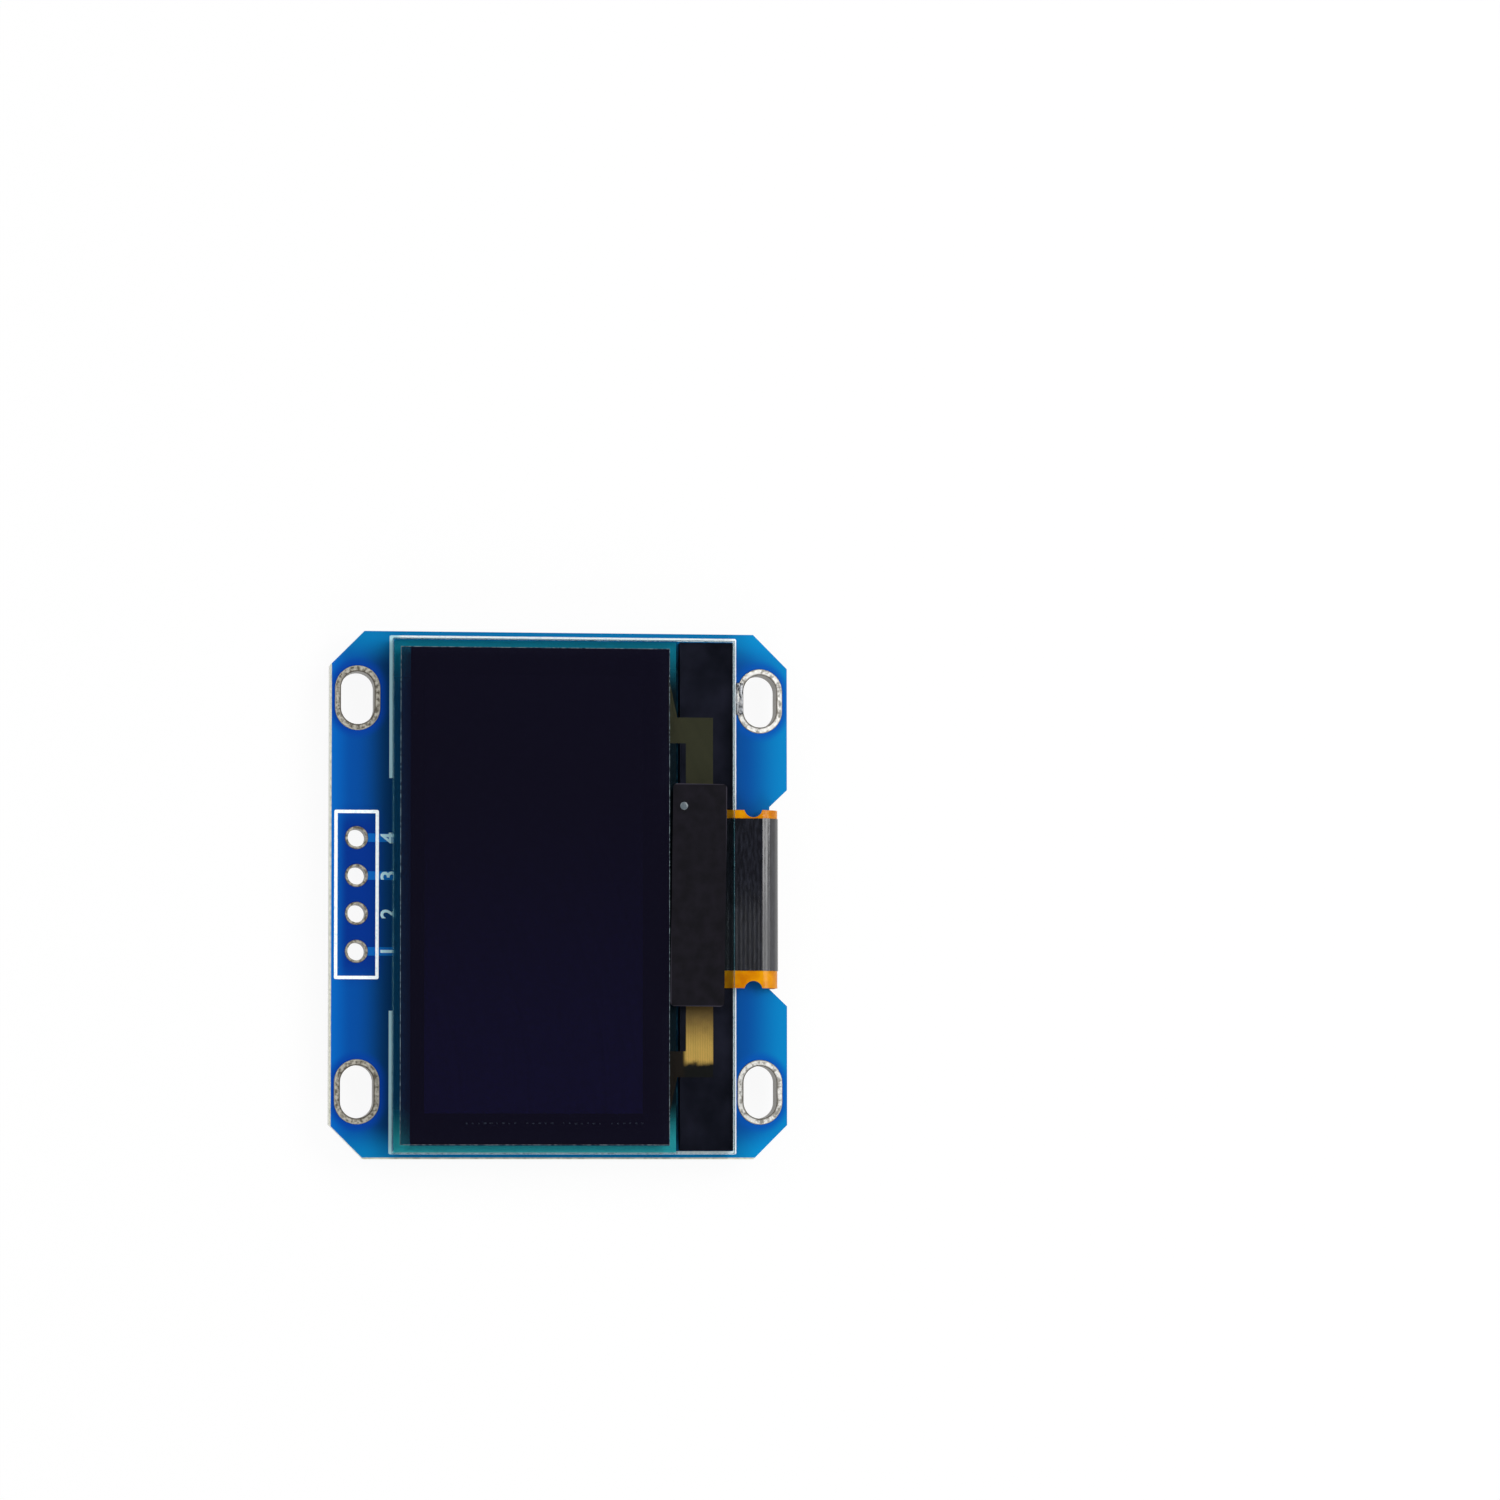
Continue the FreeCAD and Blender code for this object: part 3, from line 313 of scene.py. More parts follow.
def bareSolder(name):
    # Reflowed solder: bright, smooth and slightly frosted
    material, tree, shader, place = newFinish(name, "#C9C8C4", 0.26, 1.0)
    tone, lumps = mottle(tree, place, 0.25, "#B8B7B2", "#D4D3CF")
    surface(tree, shader, tone, lumps, 0.02, 0.4)
    return material


def fineGrain(name, dark, pale, lumpMm, roughness, shine=0.4):
    # Moulded, foamed, coated or fired stuff: two close tones in a fine grain
    material, tree, shader, place = newFinish(name, dark, roughness, shine=shine)
    tone, lumps = mottle(tree, place, lumpMm, dark, pale)
    surface(tree, shader, tone, lumps, 0.008, 0.25)
    return material


# Finishes of the display

bandSoft = 0.6                   # share of a band's width where it is still full


def edgeBand(tree, place, nodeName, widthMm):
    # 1 in a band along a node's four edges seen from the front, 0 inside it
    low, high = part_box(nodeName)
    middle = (low + high) / 2
    half = (high - low) / 2
    centred = addNode(tree, "ShaderNodeVectorMath", {"operation": "SUBTRACT", 0: place, 1: middle})
    away = addNode(tree, "ShaderNodeVectorMath", {"operation": "ABSOLUTE", 0: centred.outputs[0]})
    past = addNode(tree, "ShaderNodeVectorMath", {"operation": "SUBTRACT", 0: away.outputs[0], 1: half})
    axes = addNode(tree, "ShaderNodeSeparateXYZ", {0: past.outputs[0]})
    nearest = addNode(tree, "ShaderNodeMath", {"operation": "MAXIMUM", 0: axes.outputs["X"],
                                               1: axes.outputs["Y"]})
    band = addNode(tree, "ShaderNodeMapRange",
                   {"Value": nearest.outputs[0], "From Min": -widthMm * mm,
                    "From Max": -bandSoft * widthMm * mm})
    return band.outputs[0]


def seeThrough(tree, shader, tint, cover, flatCover, mark=None):
    # lets light through with a tint; cover is how much of the body's own surface shows from straight
    # above, flatCover how much more at a flat angle, and mark is where it covers most
    veil = addNode(tree, "ShaderNodeBsdfTransparent", {0: toLinear(tint)})
    slant = addNode(tree, "ShaderNodeLayerWeight", {"Blend": 0.25})
    share = addNode(tree, "ShaderNodeMath",
                    {"operation": "MULTIPLY_ADD", "use_clamp": True,
                     0: slant.outputs["Fresnel"], 1: flatCover, 2: cover}).outputs[0]
    if mark is not None:
        share = addNode(tree, "ShaderNodeMath", {"operation": "MAXIMUM", 0: share, 1: mark}).outputs[0]
    mixed = addNode(tree, "ShaderNodeMixShader", {0: share, 1: veil.outputs[0], 2: shader.outputs[0]})
    outlet = next(node for node in tree.nodes if node.type == "OUTPUT_MATERIAL")
    tree.links.new(mixed.outputs[0], outlet.inputs["Surface"])


def cutEdge(tree, place, nodeName, widthMm, lumpMm, low, high):
    # the band along a sheet's four edges, the broken line of painted highlight in it on the sheet's
    # two faces, and how level each face is
    band = edgeBand(tree, place, nodeName, widthMm)
    broken = mottle(tree, place, lumpMm, "#000000", "#FFFFFF", low, high)[0]
    line = addNode(tree, "ShaderNodeMath", {"operation": "MULTIPLY", 0: band, 1: broken})
    level = levelness(tree)
    mark = addNode(tree, "ShaderNodeMath", {"operation": "MULTIPLY", 0: line.outputs[0], 1: level})
    return band, mark.outputs[0], level


glassLook = {
    "body": "#020C14",
    "paintedGlint": "#4E8E9C",
    "edgeWidth": 0.08,           # mm
    "cover": 0.02,               # how much it hides from straight above
    "slantCover": 0.7,           # how much more at a flat angle
    "lineCover": 0.4,            # and how much the painted highlight line along the edges
    "sideCover": 0.55,           # and the cut sides do
}


def displayGlass(name, nodeName):
    # Thin display glass: clear with a faint green-blue cast, deeper on its cut sides, and along its
    # edges, cut by scribing, a paler broken line painted as their highlight
    material, tree, shader, place = newFinish(name, "#0F4652", 0.05, shine=0.4)
    band, mark, level = cutEdge(tree, place, nodeName, glassLook["edgeWidth"], 0.25, 0.45, 0.75)
    faint = addNode(tree, "ShaderNodeMath",
                    {"operation": "MULTIPLY", 0: mark, 1: glassLook["lineCover"]})
    side = addNode(tree, "ShaderNodeMath", {"operation": "SUBTRACT", 0: 1.0, 1: level})
    solid = addNode(tree, "ShaderNodeMath",
                    {"operation": "MULTIPLY_ADD", 0: side.outputs[0], 1: glassLook["sideCover"],
                     2: faint.outputs[0]})
    tone = addNode(tree, "ShaderNodeMix",
                   {"data_type": "RGBA", 0: band, 6: toLinear(glassLook["body"]),
                    7: toLinear(glassLook["paintedGlint"])})
    surface(tree, shader, tone.outputs[2])
    seeThrough(tree, shader, "#F2F8FA", glassLook["cover"], glassLook["slantCover"], solid.outputs[0])
    return material


polariserLook = {
    "body": "#211E33",
    # the painted highlight along the cut edge
    "cutEdge": "#74868A",
    "edgeWidth": 0.045,          # mm
    "cover": 0.26,               # how much it hides from straight above
    "slantCover": 0.6,           # and how much more at a flat angle
    "sideCover": 0.9,            # and on its cut sides
}


def polarizerFilm(name):
    # Circular polariser: a smoke-dark film with a hard low-glare coat; along its knife-cut edge a thin
    # pale broken line is painted as the edge's highlight
    material, tree, shader, place = newFinish(name, polariserLook["body"], 0.1, shine=0.25)
    mark, level = cutEdge(tree, place, "polarizer", polariserLook["edgeWidth"], 0.2, 0.22, 0.62)[1:]
    tone = addNode(tree, "ShaderNodeMix", {"data_type": "RGBA", 0: mark,
                                           6: toLinear(polariserLook["body"]),
                                           7: toLinear(polariserLook["cutEdge"])})
    surface(tree, shader, tone.outputs[2])
    side = addNode(tree, "ShaderNodeMath",
                   {"operation": "SUBTRACT", "use_clamp": True, 0: polariserLook["sideCover"], 1: level})
    covered = addNode(tree, "ShaderNodeMath", {"operation": "MAXIMUM", 0: mark, 1: side.outputs[0]})
    seeThrough(tree, shader, "#CACED8", polariserLook["cover"], polariserLook["slantCover"],
               covered.outputs[0])
    return material


layersLook = {
    # painted blue reflection at the foot
    "foot": "#3E3278",
    "head": "#1F1A26",
    "reflectionReach": 0.8,            # share of the panel from the foot, to where the painted reflection is gone
}


def organicLayers(name):
    # The light-emitting layers, unlit: near-black with a violet-blue cast, bluer towards the foot by a
    # painted reflection
    material, tree, shader, place = newFinish(name, "#14121F", 0.25, shine=0.15)
    low, high = [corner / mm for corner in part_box("organic_stack")]
    axes = addNode(tree, "ShaderNodeSeparateXYZ", {0: place})
    tone = fade(tree, axes.outputs["X"], low.x, low.x + layersLook["reflectionReach"] * (high.x - low.x),
                toLinear(layersLook["foot"]), toLinear(layersLook["head"]))
    surface(tree, shader, tone)
    return material


sealLook = {
    "byPins": "#0A6C9C",
    "byFold": "#04202A",         # beside the ledge, where nothing pale lies behind
    "highEnd": "#08B0CC",
    "lowEnd": "#48ECF0",
    "reach": 3.6,                # how far the light from the two ends comes in, mm
    "full": 0.6,                 # and how far it stays full, mm
    "foldToPins": (-6.5, -5.0),  # mm across the board
    "cover": 0.5,
    "slantCover": 0.1,
}


def sealGlue(name):
    # Cured seal between the glasses: slightly milky, with the green-blue of the light that comes in
    # at the panel's two ends
    material, tree, shader, place = newFinish(name, sealLook["byPins"], 0.4, shine=0.2)
    look = {part: toLinear(value) for part, value in sealLook.items() if isinstance(value, str)}
    low, high = [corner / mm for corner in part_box("front_glass")]
    axes = addNode(tree, "ShaderNodeSeparateXYZ", {0: place})
    reach, full = sealLook["reach"], sealLook["full"]
    tone = fade(tree, axes.outputs["Y"], *sealLook["foldToPins"], look["byFold"], look["byPins"])
    tone = fade(tree, axes.outputs["X"], high.x - reach, high.x - full, tone, look["highEnd"])
    tone = fade(tree, axes.outputs["X"], low.x + full, low.x + reach, look["lowEnd"], tone)
    surface(tree, shader, tone)
    seeThrough(tree, shader, "#B8E0E8", sealLook["cover"], sealLook["slantCover"])
    return material


fanoutLook = {
    "gold": "#F8BE60",           # where the light catches the lines
    "goldLine": "#E8B054",
    "brown": "#7E5E30",          # by the chip
    "olive": "#423C26",          # the lines at the head
    "elbow": "#24180E",          # where the lines turn to the display
    "unlit": "#17130F",
    "pitch": 0.16,               # mm, coarser than the real lines so that they show
    "gleam": (-11.25, -10.7),    # mm along the panel, where the gold begins
    "dulling": (-10.25, -7.5),   # and where it turns brown
    "elbowIn": (0.45, 0.15),     # mm in from the pad's edge
    "headFrom": (-1.0, 1.0),
    "ragged": 0.5,               # mm, how uneven those ends are and how wide their lumps
}


def fanoutMetal(name):
    # Fine conductor lines on the ledge: gold where the light catches them at the foot, brown by the
    # chip, and olive at the head
    material, tree, shader, place = newFinish(name, fanoutLook["gold"], 0.5, shine=0.15)
    look = {part: toLinear(value) for part, value in fanoutLook.items() if isinstance(value, str)}
    axes = addNode(tree, "ShaderNodeSeparateXYZ", {0: place})
    lines = addNode(tree, "ShaderNodeTexWave",
                    {"Vector": place, "wave_type": "BANDS", "bands_direction": "Y",
                     "Scale": bandScale(fanoutLook["pitch"]), "Distortion": 0.4})
    gold = addNode(tree, "ShaderNodeMix", {"data_type": "RGBA", 0: lines.outputs["Fac"],
                                           6: look["goldLine"], 7: look["gold"]}).outputs[2]
    uneven = fanoutLook["ragged"] * mm
    ragged = addNode(tree, "ShaderNodeTexNoise", {"Vector": place, "Scale": 1 / uneven})
    along = addNode(tree, "ShaderNodeMath", {"operation": "MULTIPLY_ADD", 0: ragged.outputs["Fac"],
                                             1: uneven, 2: axes.outputs["X"]}).outputs[0]
    tone = fade(tree, along, *fanoutLook["dulling"], gold, look["brown"])
    tone = fade(tree, along, *fanoutLook["gleam"], look["unlit"], tone)
    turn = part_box("ledge_pad")[1].y / mm
    first, last = [turn - step for step in fanoutLook["elbowIn"]]
    tone = fade(tree, axes.outputs["Y"], first, last, tone, look["elbow"])
    tone = fade(tree, axes.outputs["X"], *fanoutLook["headFrom"], tone, look["olive"])
    surface(tree, shader, tone)
    return material


amberLook = {
    "body": "#E88C00",
    "dark": "#D88000",
    "pale": "#FAAC00",
    "through": "#FFC800",        # the light that comes through it
    "cover": 0.72,
    "slantCover": 0.3,
}


def amberFilm(name):
    # Polyimide film: translucent amber, glossy, glowing where light comes from behind
    material, tree, shader, place = newFinish(name, amberLook["body"], 0.16, shine=0.25)
    tone = mottle(tree, place, 1.0, amberLook["dark"], amberLook["pale"])[0]
    surface(tree, shader, tone)
    seeThrough(tree, shader, amberLook["through"], amberLook["cover"], amberLook["slantCover"])
    return material


coverLook = {
    "dark": "#121319",
    "pale": "#272932",
    "crease": 0.3,               # mm from crease to crease
    "grain": 0.4,                # the wear's height beside the creases'
    "glossy": 0.1,               # roughness at the upper end
    "scuffed": 0.26,             # and at the lower end
    "between": 2.0,              # mm either side of the middle, from one to the other
}


def coverFilm(name):
    # Black coverlay on the folded film: glossy plastic, duller where it is scuffed towards its lower
    # end, with faint creases along the fold
    material, tree, shader, place = newFinish(name, "#0B0C10", 0.12, shine=0.8)
    creases = addNode(tree, "ShaderNodeTexWave",
                      {"Vector": place, "wave_type": "BANDS", "bands_direction": "Y",
                       "Scale": bandScale(coverLook["crease"])})
    tone, wear = mottle(tree, place, 0.16, coverLook["dark"], coverLook["pale"], 0.4, 0.8, (0.25, 1, 1))
    axes = addNode(tree, "ShaderNodeSeparateXYZ", {0: place})
    scuffed = addNode(tree, "ShaderNodeMapRange",
                      {"interpolation_type": "SMOOTHSTEP", "Value": axes.outputs["X"],
                       "From Min": -coverLook["between"] * mm, "From Max": coverLook["between"] * mm,
                       "To Min": coverLook["scuffed"], "To Max": coverLook["glossy"]})
    tree.links.new(scuffed.outputs[0], shader.inputs["Roughness"])
    uneven = addNode(tree, "ShaderNodeMath",
                     {"operation": "MULTIPLY_ADD", 0: wear, 1: coverLook["grain"],
                      2: creases.outputs["Fac"]})
    surface(tree, shader, tone, uneven.outputs[0], 0.012, 0.5)
    return material


shieldLook = {
    "dark": "#100F14",
    "pale": "#17151C",
    # the painted highlight along the cut rim
    "rim": "#34313A",
    "rimWide": 0.09,             # mm
}


def shieldTape(name):
    # Black light-tight tape: satin, very slightly violet, its cut rim painted a little paler as its
    # highlight
    material, tree, shader, place = newFinish(name, "#131118", 0.5, shine=0.06)
    rim = edgeBand(tree, place, "light_shield", shieldLook["rimWide"])
    tone, lumps = mottle(tree, place, 0.8, shieldLook["dark"], shieldLook["pale"])
    tone = addNode(tree, "ShaderNodeMix",
                   {"data_type": "RGBA", 0: rim, 6: tone, 7: toLinear(shieldLook["rim"])})
    surface(tree, shader, tone.outputs[2], lumps, 0.01, 0.3)
    return material


finishes = {
    "solder_mask": solderMask("blueSolderMask"),
    "tin_plating": tinPlate("levelledTin", "#6E675A", "#C6C0B0", "#4A443A"),
    "legend_ink": legendInk("printedEpoxyInk"),
    "black_tape": fineGrain("foamTape", "#0C0B10", "#131118", 0.3, 0.8, 0.1),
    "display_glass": displayGlass("displayGlass", "front_glass"),
    "seal_glue": sealGlue("curedSeal"),
    "desiccant_film": fineGrain("dryingFilm", "#100E16", "#16131E", 1.0, 0.7, 0.1),
    "organic_layers": organicLayers("emittingLayers"),
    "polarizer_film": polarizerFilm("polarizerFilm"),
    "trace_metal": fanoutMetal("fanoutMetal"),
    "silicon": fineGrain("polishedSilicon", "#2C2E35", "#34373F", 2.0, 0.2),
    "black_foam": fineGrain("blackFoam", "#191720", "#2B2733", 3.0, 0.85, 0.05),
    "bond_film": fineGrain("bondFilm", "#4A3A28", "#5B4A33", 0.1, 0.6),
    "shield_tape": shieldTape("lightTightTape"),
    "amber_film": amberFilm("polyimideFilm"),
    "cover_film": coverFilm("blackCoverlay"),
    "contact_tin": tinPlate("contactTin", "#9B968A", "#DDD9CF", "#6E685C"),
    "solder": bareSolder("reflowedSolder"),
    "ceramic": fineGrain("firedCeramic", "#8A6B4C", "#9B7B5A", 0.3, 0.45),
    "resistor_coat": fineGrain("resistorGlaze", "#111214", "#1A1B1E", 0.3, 0.3),
    "moulded_epoxy": fineGrain("mouldedEpoxy", "#17181A", "#222326", 0.12, 0.55),
}
maskOverCopper = solderMask("maskOverCopper", True)
slotTin = tinPlate("slotTin", "#6C665A", "#D2CDC0", "#5A544A", True)
nodeFinishes = {f"slot_plating_{number}": slotTin for number in range(1, 5)}
nodeFinishes["rear_glass"] = displayGlass("rearDisplayGlass", "rear_glass")


def paintFrame():
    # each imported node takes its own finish, or else that of its slot
    for row in frame["record"]["subparts"]:
        finish = nodeFinishes.get(row["node"]) or finishes[row["material_slot"]]
        for holder in frame["nodes"][row["node"]].material_slots:
            holder.material = finish


paintFrame()
print("frame painted:", len(frame["nodes"]), "nodes")


# Small tools for the added pieces

def finishPiece(name, mesh, finish):
    # the mesh is already in its place, so the object stays at the origin
    piece = bpy.data.objects.new(name, mesh)
    scene.collection.objects.link(piece)
    mesh.materials.clear()
    mesh.materials.append(finish)
    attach(piece, "root")
    return piece


def fromBmesh(name, bm, finish):
    mesh = bpy.data.meshes.new(name)
    bmesh.ops.recalc_face_normals(bm, faces=bm.faces)
    bm.to_mesh(mesh)
    bm.free()
    return finishPiece(name, mesh, finish)


def addBar(bm, start, end, width, low, high):
    # a flat bar with square ends between two points of the board's plane, all in millimetres
    first = Vector((*start, 0)) * mm
    last = Vector((*end, 0)) * mm
    along = last - first
    turn = Matrix.Rotation(math.atan2(along.y, along.x), 4, "Z")
    middle = (first + last) / 2 + Vector((0, 0, (low + high) / 2 * mm))
    shape = Matrix.Diagonal((along.length, width * mm, (high - low) * mm, 1))
    bmesh.ops.create_cube(bm, size=1, matrix=Matrix.Translation(middle) @ turn @ shape)


def addDisc(bm, centre, radius, low, high, sides=20):
    middle = Vector((centre[0], centre[1], (low + high) / 2)) * mm
    bmesh.ops.create_cone(bm, cap_ends=True, segments=sides, radius1=radius * mm, radius2=radius * mm,
                          depth=(high - low) * mm, matrix=Matrix.Translation(middle))


routeStep = 0.001            # mm, keeps the faces of bars and discs that overlap off one plane


def addRoute(bm, points, width, low, high):
    # bars from point to point, with a disc at each bend and end
    for index, (start, end) in enumerate(zip(points, points[1:])):
        step = routeStep * (index % 2)
        addBar(bm, start, end, width, low + step, high - step)
    for point in dict.fromkeys(points):
        addDisc(bm, point, width / 2, low - 2 * routeStep, high + 2 * routeStep, 14)


def middleOf(nodeName):
    low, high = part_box(nodeName)
    return (low + high) / 2 / mm


digitStroke = 0.018          # how much bolder than the font, as a share of its size


def addDigits(bm, digits, size, thick, back=False):
    # plain digits, each with its place; on the back they are turned over to read from there
    for digit, x, y, z in digits:
        curve = bpy.data.curves.new("digit", "FONT")
        curve.body = digit
        curve.size = size * mm
        curve.extrude = thick / 2 * mm
        curve.offset = digitStroke * size * mm
        curve.align_x = "CENTER"
        curve.align_y = "CENTER"
        curve.resolution_u = 3
        holder = bpy.data.objects.new("digit", curve)
        scene.collection.objects.link(holder)
        bpy.context.view_layer.update()
        mesh = bpy.data.meshes.new_from_object(holder)
        turn = Matrix.Rotation(math.pi, 4, "X") if back else Matrix.Identity(4)
        mesh.transform(Matrix.Translation(Vector((x, y, z)) * mm) @ turn)
        bm.from_mesh(mesh)
        bpy.data.objects.remove(holder)
        bpy.data.meshes.remove(mesh)


# Print on the board

pinNumberSizes = {
    "height": 1.45,          # font size, which gives digits about 1.05 mm high
    "thick": 0.02,
    "fromPins": 2.2,         # from the row of holes towards the panel
}


def besidePins(height):
    # the numbers 1 to 4, each beside its hole, at one height
    pins = [middleOf(f"pin_plating_{number}") for number in range(1, 5)]
    return [(str(number), pin.x, pin.y - pinNumberSizes["fromPins"], height)
            for number, pin in enumerate(pins, start=1)]


def pinNumbers():
    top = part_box("board")[1].z / mm
    bm = bmesh.new()
    thick = pinNumberSizes["thick"]
    addDigits(bm, besidePins(top + thick / 2), pinNumberSizes["height"], thick)
    return fromBmesh("pinNumbers", bm, finishes["legend_ink"])


pinNumbers()
print("pin numbers printed")


# Copper under the mask

frontTraceSizes = {
    "width": 0.57,
    "thick": 0.012,
    "sunk": 0.005,           # into the board's face
    "start": 0.75,           # from a pin's middle
    "reach": 4.4,            # and to where the panel hides them
    "pins": (1, 3, 4),
}


def frontTraces():
    size = frontTraceSizes
    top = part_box("board")[1].z / mm
    bm = bmesh.new()
    for number in size["pins"]:
        pin = middleOf(f"pin_plating_{number}")
        addBar(bm, (pin.x, pin.y - size["start"]), (pin.x, pin.y - size["reach"]), size["width"],
               top - size["sunk"], top + size["thick"])
    return fromBmesh("frontTraces", bm, maskOverCopper)


frontTraces()
print("front traces laid")


# Tin that ran over the rim of one slot, as far as the printed line

smearSizes = {
    "long": 2.1,
    "wide": 0.44,
    "high": 0.1,
    "overRim": 0.37,
    "fromMiddle": 0.15,      # towards the upper corner
    "cuts": 6,               # across each side of the block it starts from
    "ragged": 0.05,
    "unevenFrom": 0.6,       # share of its height above which the top is uneven
    "dips": 0.5,             # shares of its height
    "swells": 0.2,
}


def tinSmear():
    size = smearSizes
    low, high = [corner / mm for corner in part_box("slot_plating_2")]
    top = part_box("board")[1].z / mm
    middle = Vector(((low.x + high.x) / 2 + size["fromMiddle"],
                     high.y - size["overRim"] + size["wide"] / 2, top + size["high"] / 2))
    shape = Matrix.Diagonal((size["long"] * mm, size["wide"] * mm, size["high"] * mm, 1))
    bm = bmesh.new()
    bmesh.ops.create_cube(bm, size=1, matrix=Matrix.Translation(middle * mm) @ shape)
    bmesh.ops.subdivide_edges(bm, edges=bm.edges, cuts=size["cuts"], use_grid_fill=True)
    for vert in bm.verts:
        inward = 1 - abs(vert.co.x / mm - middle.x) / size["long"]
        vert.co.x += random.uniform(-1, 1) * size["ragged"] * mm
        if vert.co.z / mm > top + size["high"] * size["unevenFrom"]:
            lift = random.uniform(-size["dips"], size["swells"]) * inward
            vert.co.z += lift * size["high"] * mm
    finish = tinPlate("smearedTin", "#4C4E52", "#B4B6BA", "#4A4A4C")
    piece = fromBmesh("tinSmear", bm, finish)
    piece.data.shade_smooth()
    return piece


tinSmear()
print("tin smear laid")


# The back of the board

rearTraceSizes = {
    "width": 0.28,
    "busWidth": 0.6,
    "thick": 0.012,
    "sunk": 0.004,           # into the board's face
    "busStep": 0.003,        # how much thinner the wide ones are, so that no faces share a plane
    "viaStep": 0.005,        # and how much thicker the round ones
    "via": 0.32,             # radius of the copper round a plated-through point
    "pastEnd": 0.2,          # from a part's end to the end of its trace
    "landInset": 0.2,        # from the ends of the row of lands
    "landSpread": 0.78,      # the lands lie closer together than the capacitors
    "landUnder": 0.1,
    "landRun": 0.5,          # straight on from the lands
    "bendBefore": 0.3,       # before a capacitor
    "supplyRun": 1.3,        # from the outer capacitors to their vias
    "busLine": -1.6,         # across the board
    "pinClear": 1.08,        # from a pin's middle to where its trace starts
    "pinRun": 1.6,           # and to its first bend
    "pullUpBend": 0.5,
    "pullUpRun": 1.8,
    "powerBend": 1.8,        # before the diode and the regulator
    "powerRun": 2.6,         # past them
}


def endsOf(nodeName):
    # the two ends of a part that lies across the board: by the fold, and by the pins
    low, high = [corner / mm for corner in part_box(nodeName)]
    across = (low.x + high.x) / 2
    past = rearTraceSizes["pastEnd"]
    return (across, low.y - past), (across, high.y + past)


def rearTraces():
    # from the film's lands by way of the capacitors and resistors to a bus, and on to the pins
    size = rearTraceSizes
    lands = [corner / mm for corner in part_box("board_lands")]
    bm = bmesh.new()
    width, under, sunk, line = size["width"], -size["thick"], size["sunk"], size["busLine"]
    wide, wideUnder = size["busWidth"], under + size["busStep"]
    vias = []
    for number in range(1, 7):
        outer, inner = endsOf(f"capacitor_{number}")
        first, last = lands[0].x + size["landInset"], lands[1].x - size["landInset"]
        across = max(first, min(last, outer[0] * size["landSpread"]))
        points = [(across, lands[1].y - size["landUnder"]), (across, lands[1].y + size["landRun"]),
                  (outer[0], outer[1] - size["bendBefore"]), outer]
        addRoute(bm, points, width, under, sunk)
        if number in (1, 6):
            vias.append((inner[0], inner[1] + size["supplyRun"]))
            addRoute(bm, [inner, vias[-1]], width, under, sunk)
    for number in range(1, 5):
        outer, inner = endsOf(f"resistor_{number}")
        addRoute(bm, [endsOf(f"capacitor_{number + 1}")[1], outer], width, under, sunk)
        addRoute(bm, [inner, (inner[0], line)], width, under, sunk)
        vias.append((inner[0], line))
    addRoute(bm, [(vias[2][0], line), (vias[-1][0], line)], wide, wideUnder, sunk)
    for number, part in ((2, "resistor_5"), (3, "resistor_6")):
        outer, inner = endsOf(part)
        pin = middleOf(f"pin_plating_{number}")
        points = [(pin.x, pin.y - size["pinClear"]), (pin.x, inner[1] + size["pullUpBend"]), inner]
        addRoute(bm, points, width, under, sunk)
        vias.append((outer[0], outer[1] - size["pullUpRun"]))
        addRoute(bm, [outer, vias[-1]], width, under, sunk)
    for number, part in ((1, "diode_leads"), (4, "regulator_leads")):
        outer, inner = endsOf(part)
        pin = middleOf(f"pin_plating_{number}")
        bend = (inner[0], inner[1] + size["powerBend"] - size["pastEnd"])
        points = [(pin.x, pin.y - size["pinClear"]), (pin.x, pin.y - size["pinRun"]), bend, inner]
        addRoute(bm, points, wide, wideUnder, sunk)
        vias.append((outer[0], outer[1] - size["powerRun"] + size["pastEnd"]))
        addRoute(bm, [outer, vias[-1]], wide, wideUnder, sunk)
    for point in vias:
        addDisc(bm, point, size["via"], under - size["viaStep"], sunk, 18)
    return fromBmesh("rearTraces", bm, maskOverCopper)


rearLegendSizes = {
    "line": 0.16,            # printed outlines
    "gap": 0.28,             # from a component's box to its outline
    "pastBody": 0.1,         # the side lines' ends, past a two-ended part
    "pastLeads": 0.5,
    "pinBoxEnd": 1.3,        # from the outer pins' middles
    "pinBoxSide": 1.2,
    "pinBoxLine": 0.224,
    "thick": 0.018,
}


def addOutline(bm, low, high, width, bottom, top):
    # a printed line round a box in the board's plane
    corners = [(low[0], low[1]), (high[0], low[1]), (high[0], high[1]), (low[0], high[1])]
    addRoute(bm, corners + corners[:1], width, bottom, top)


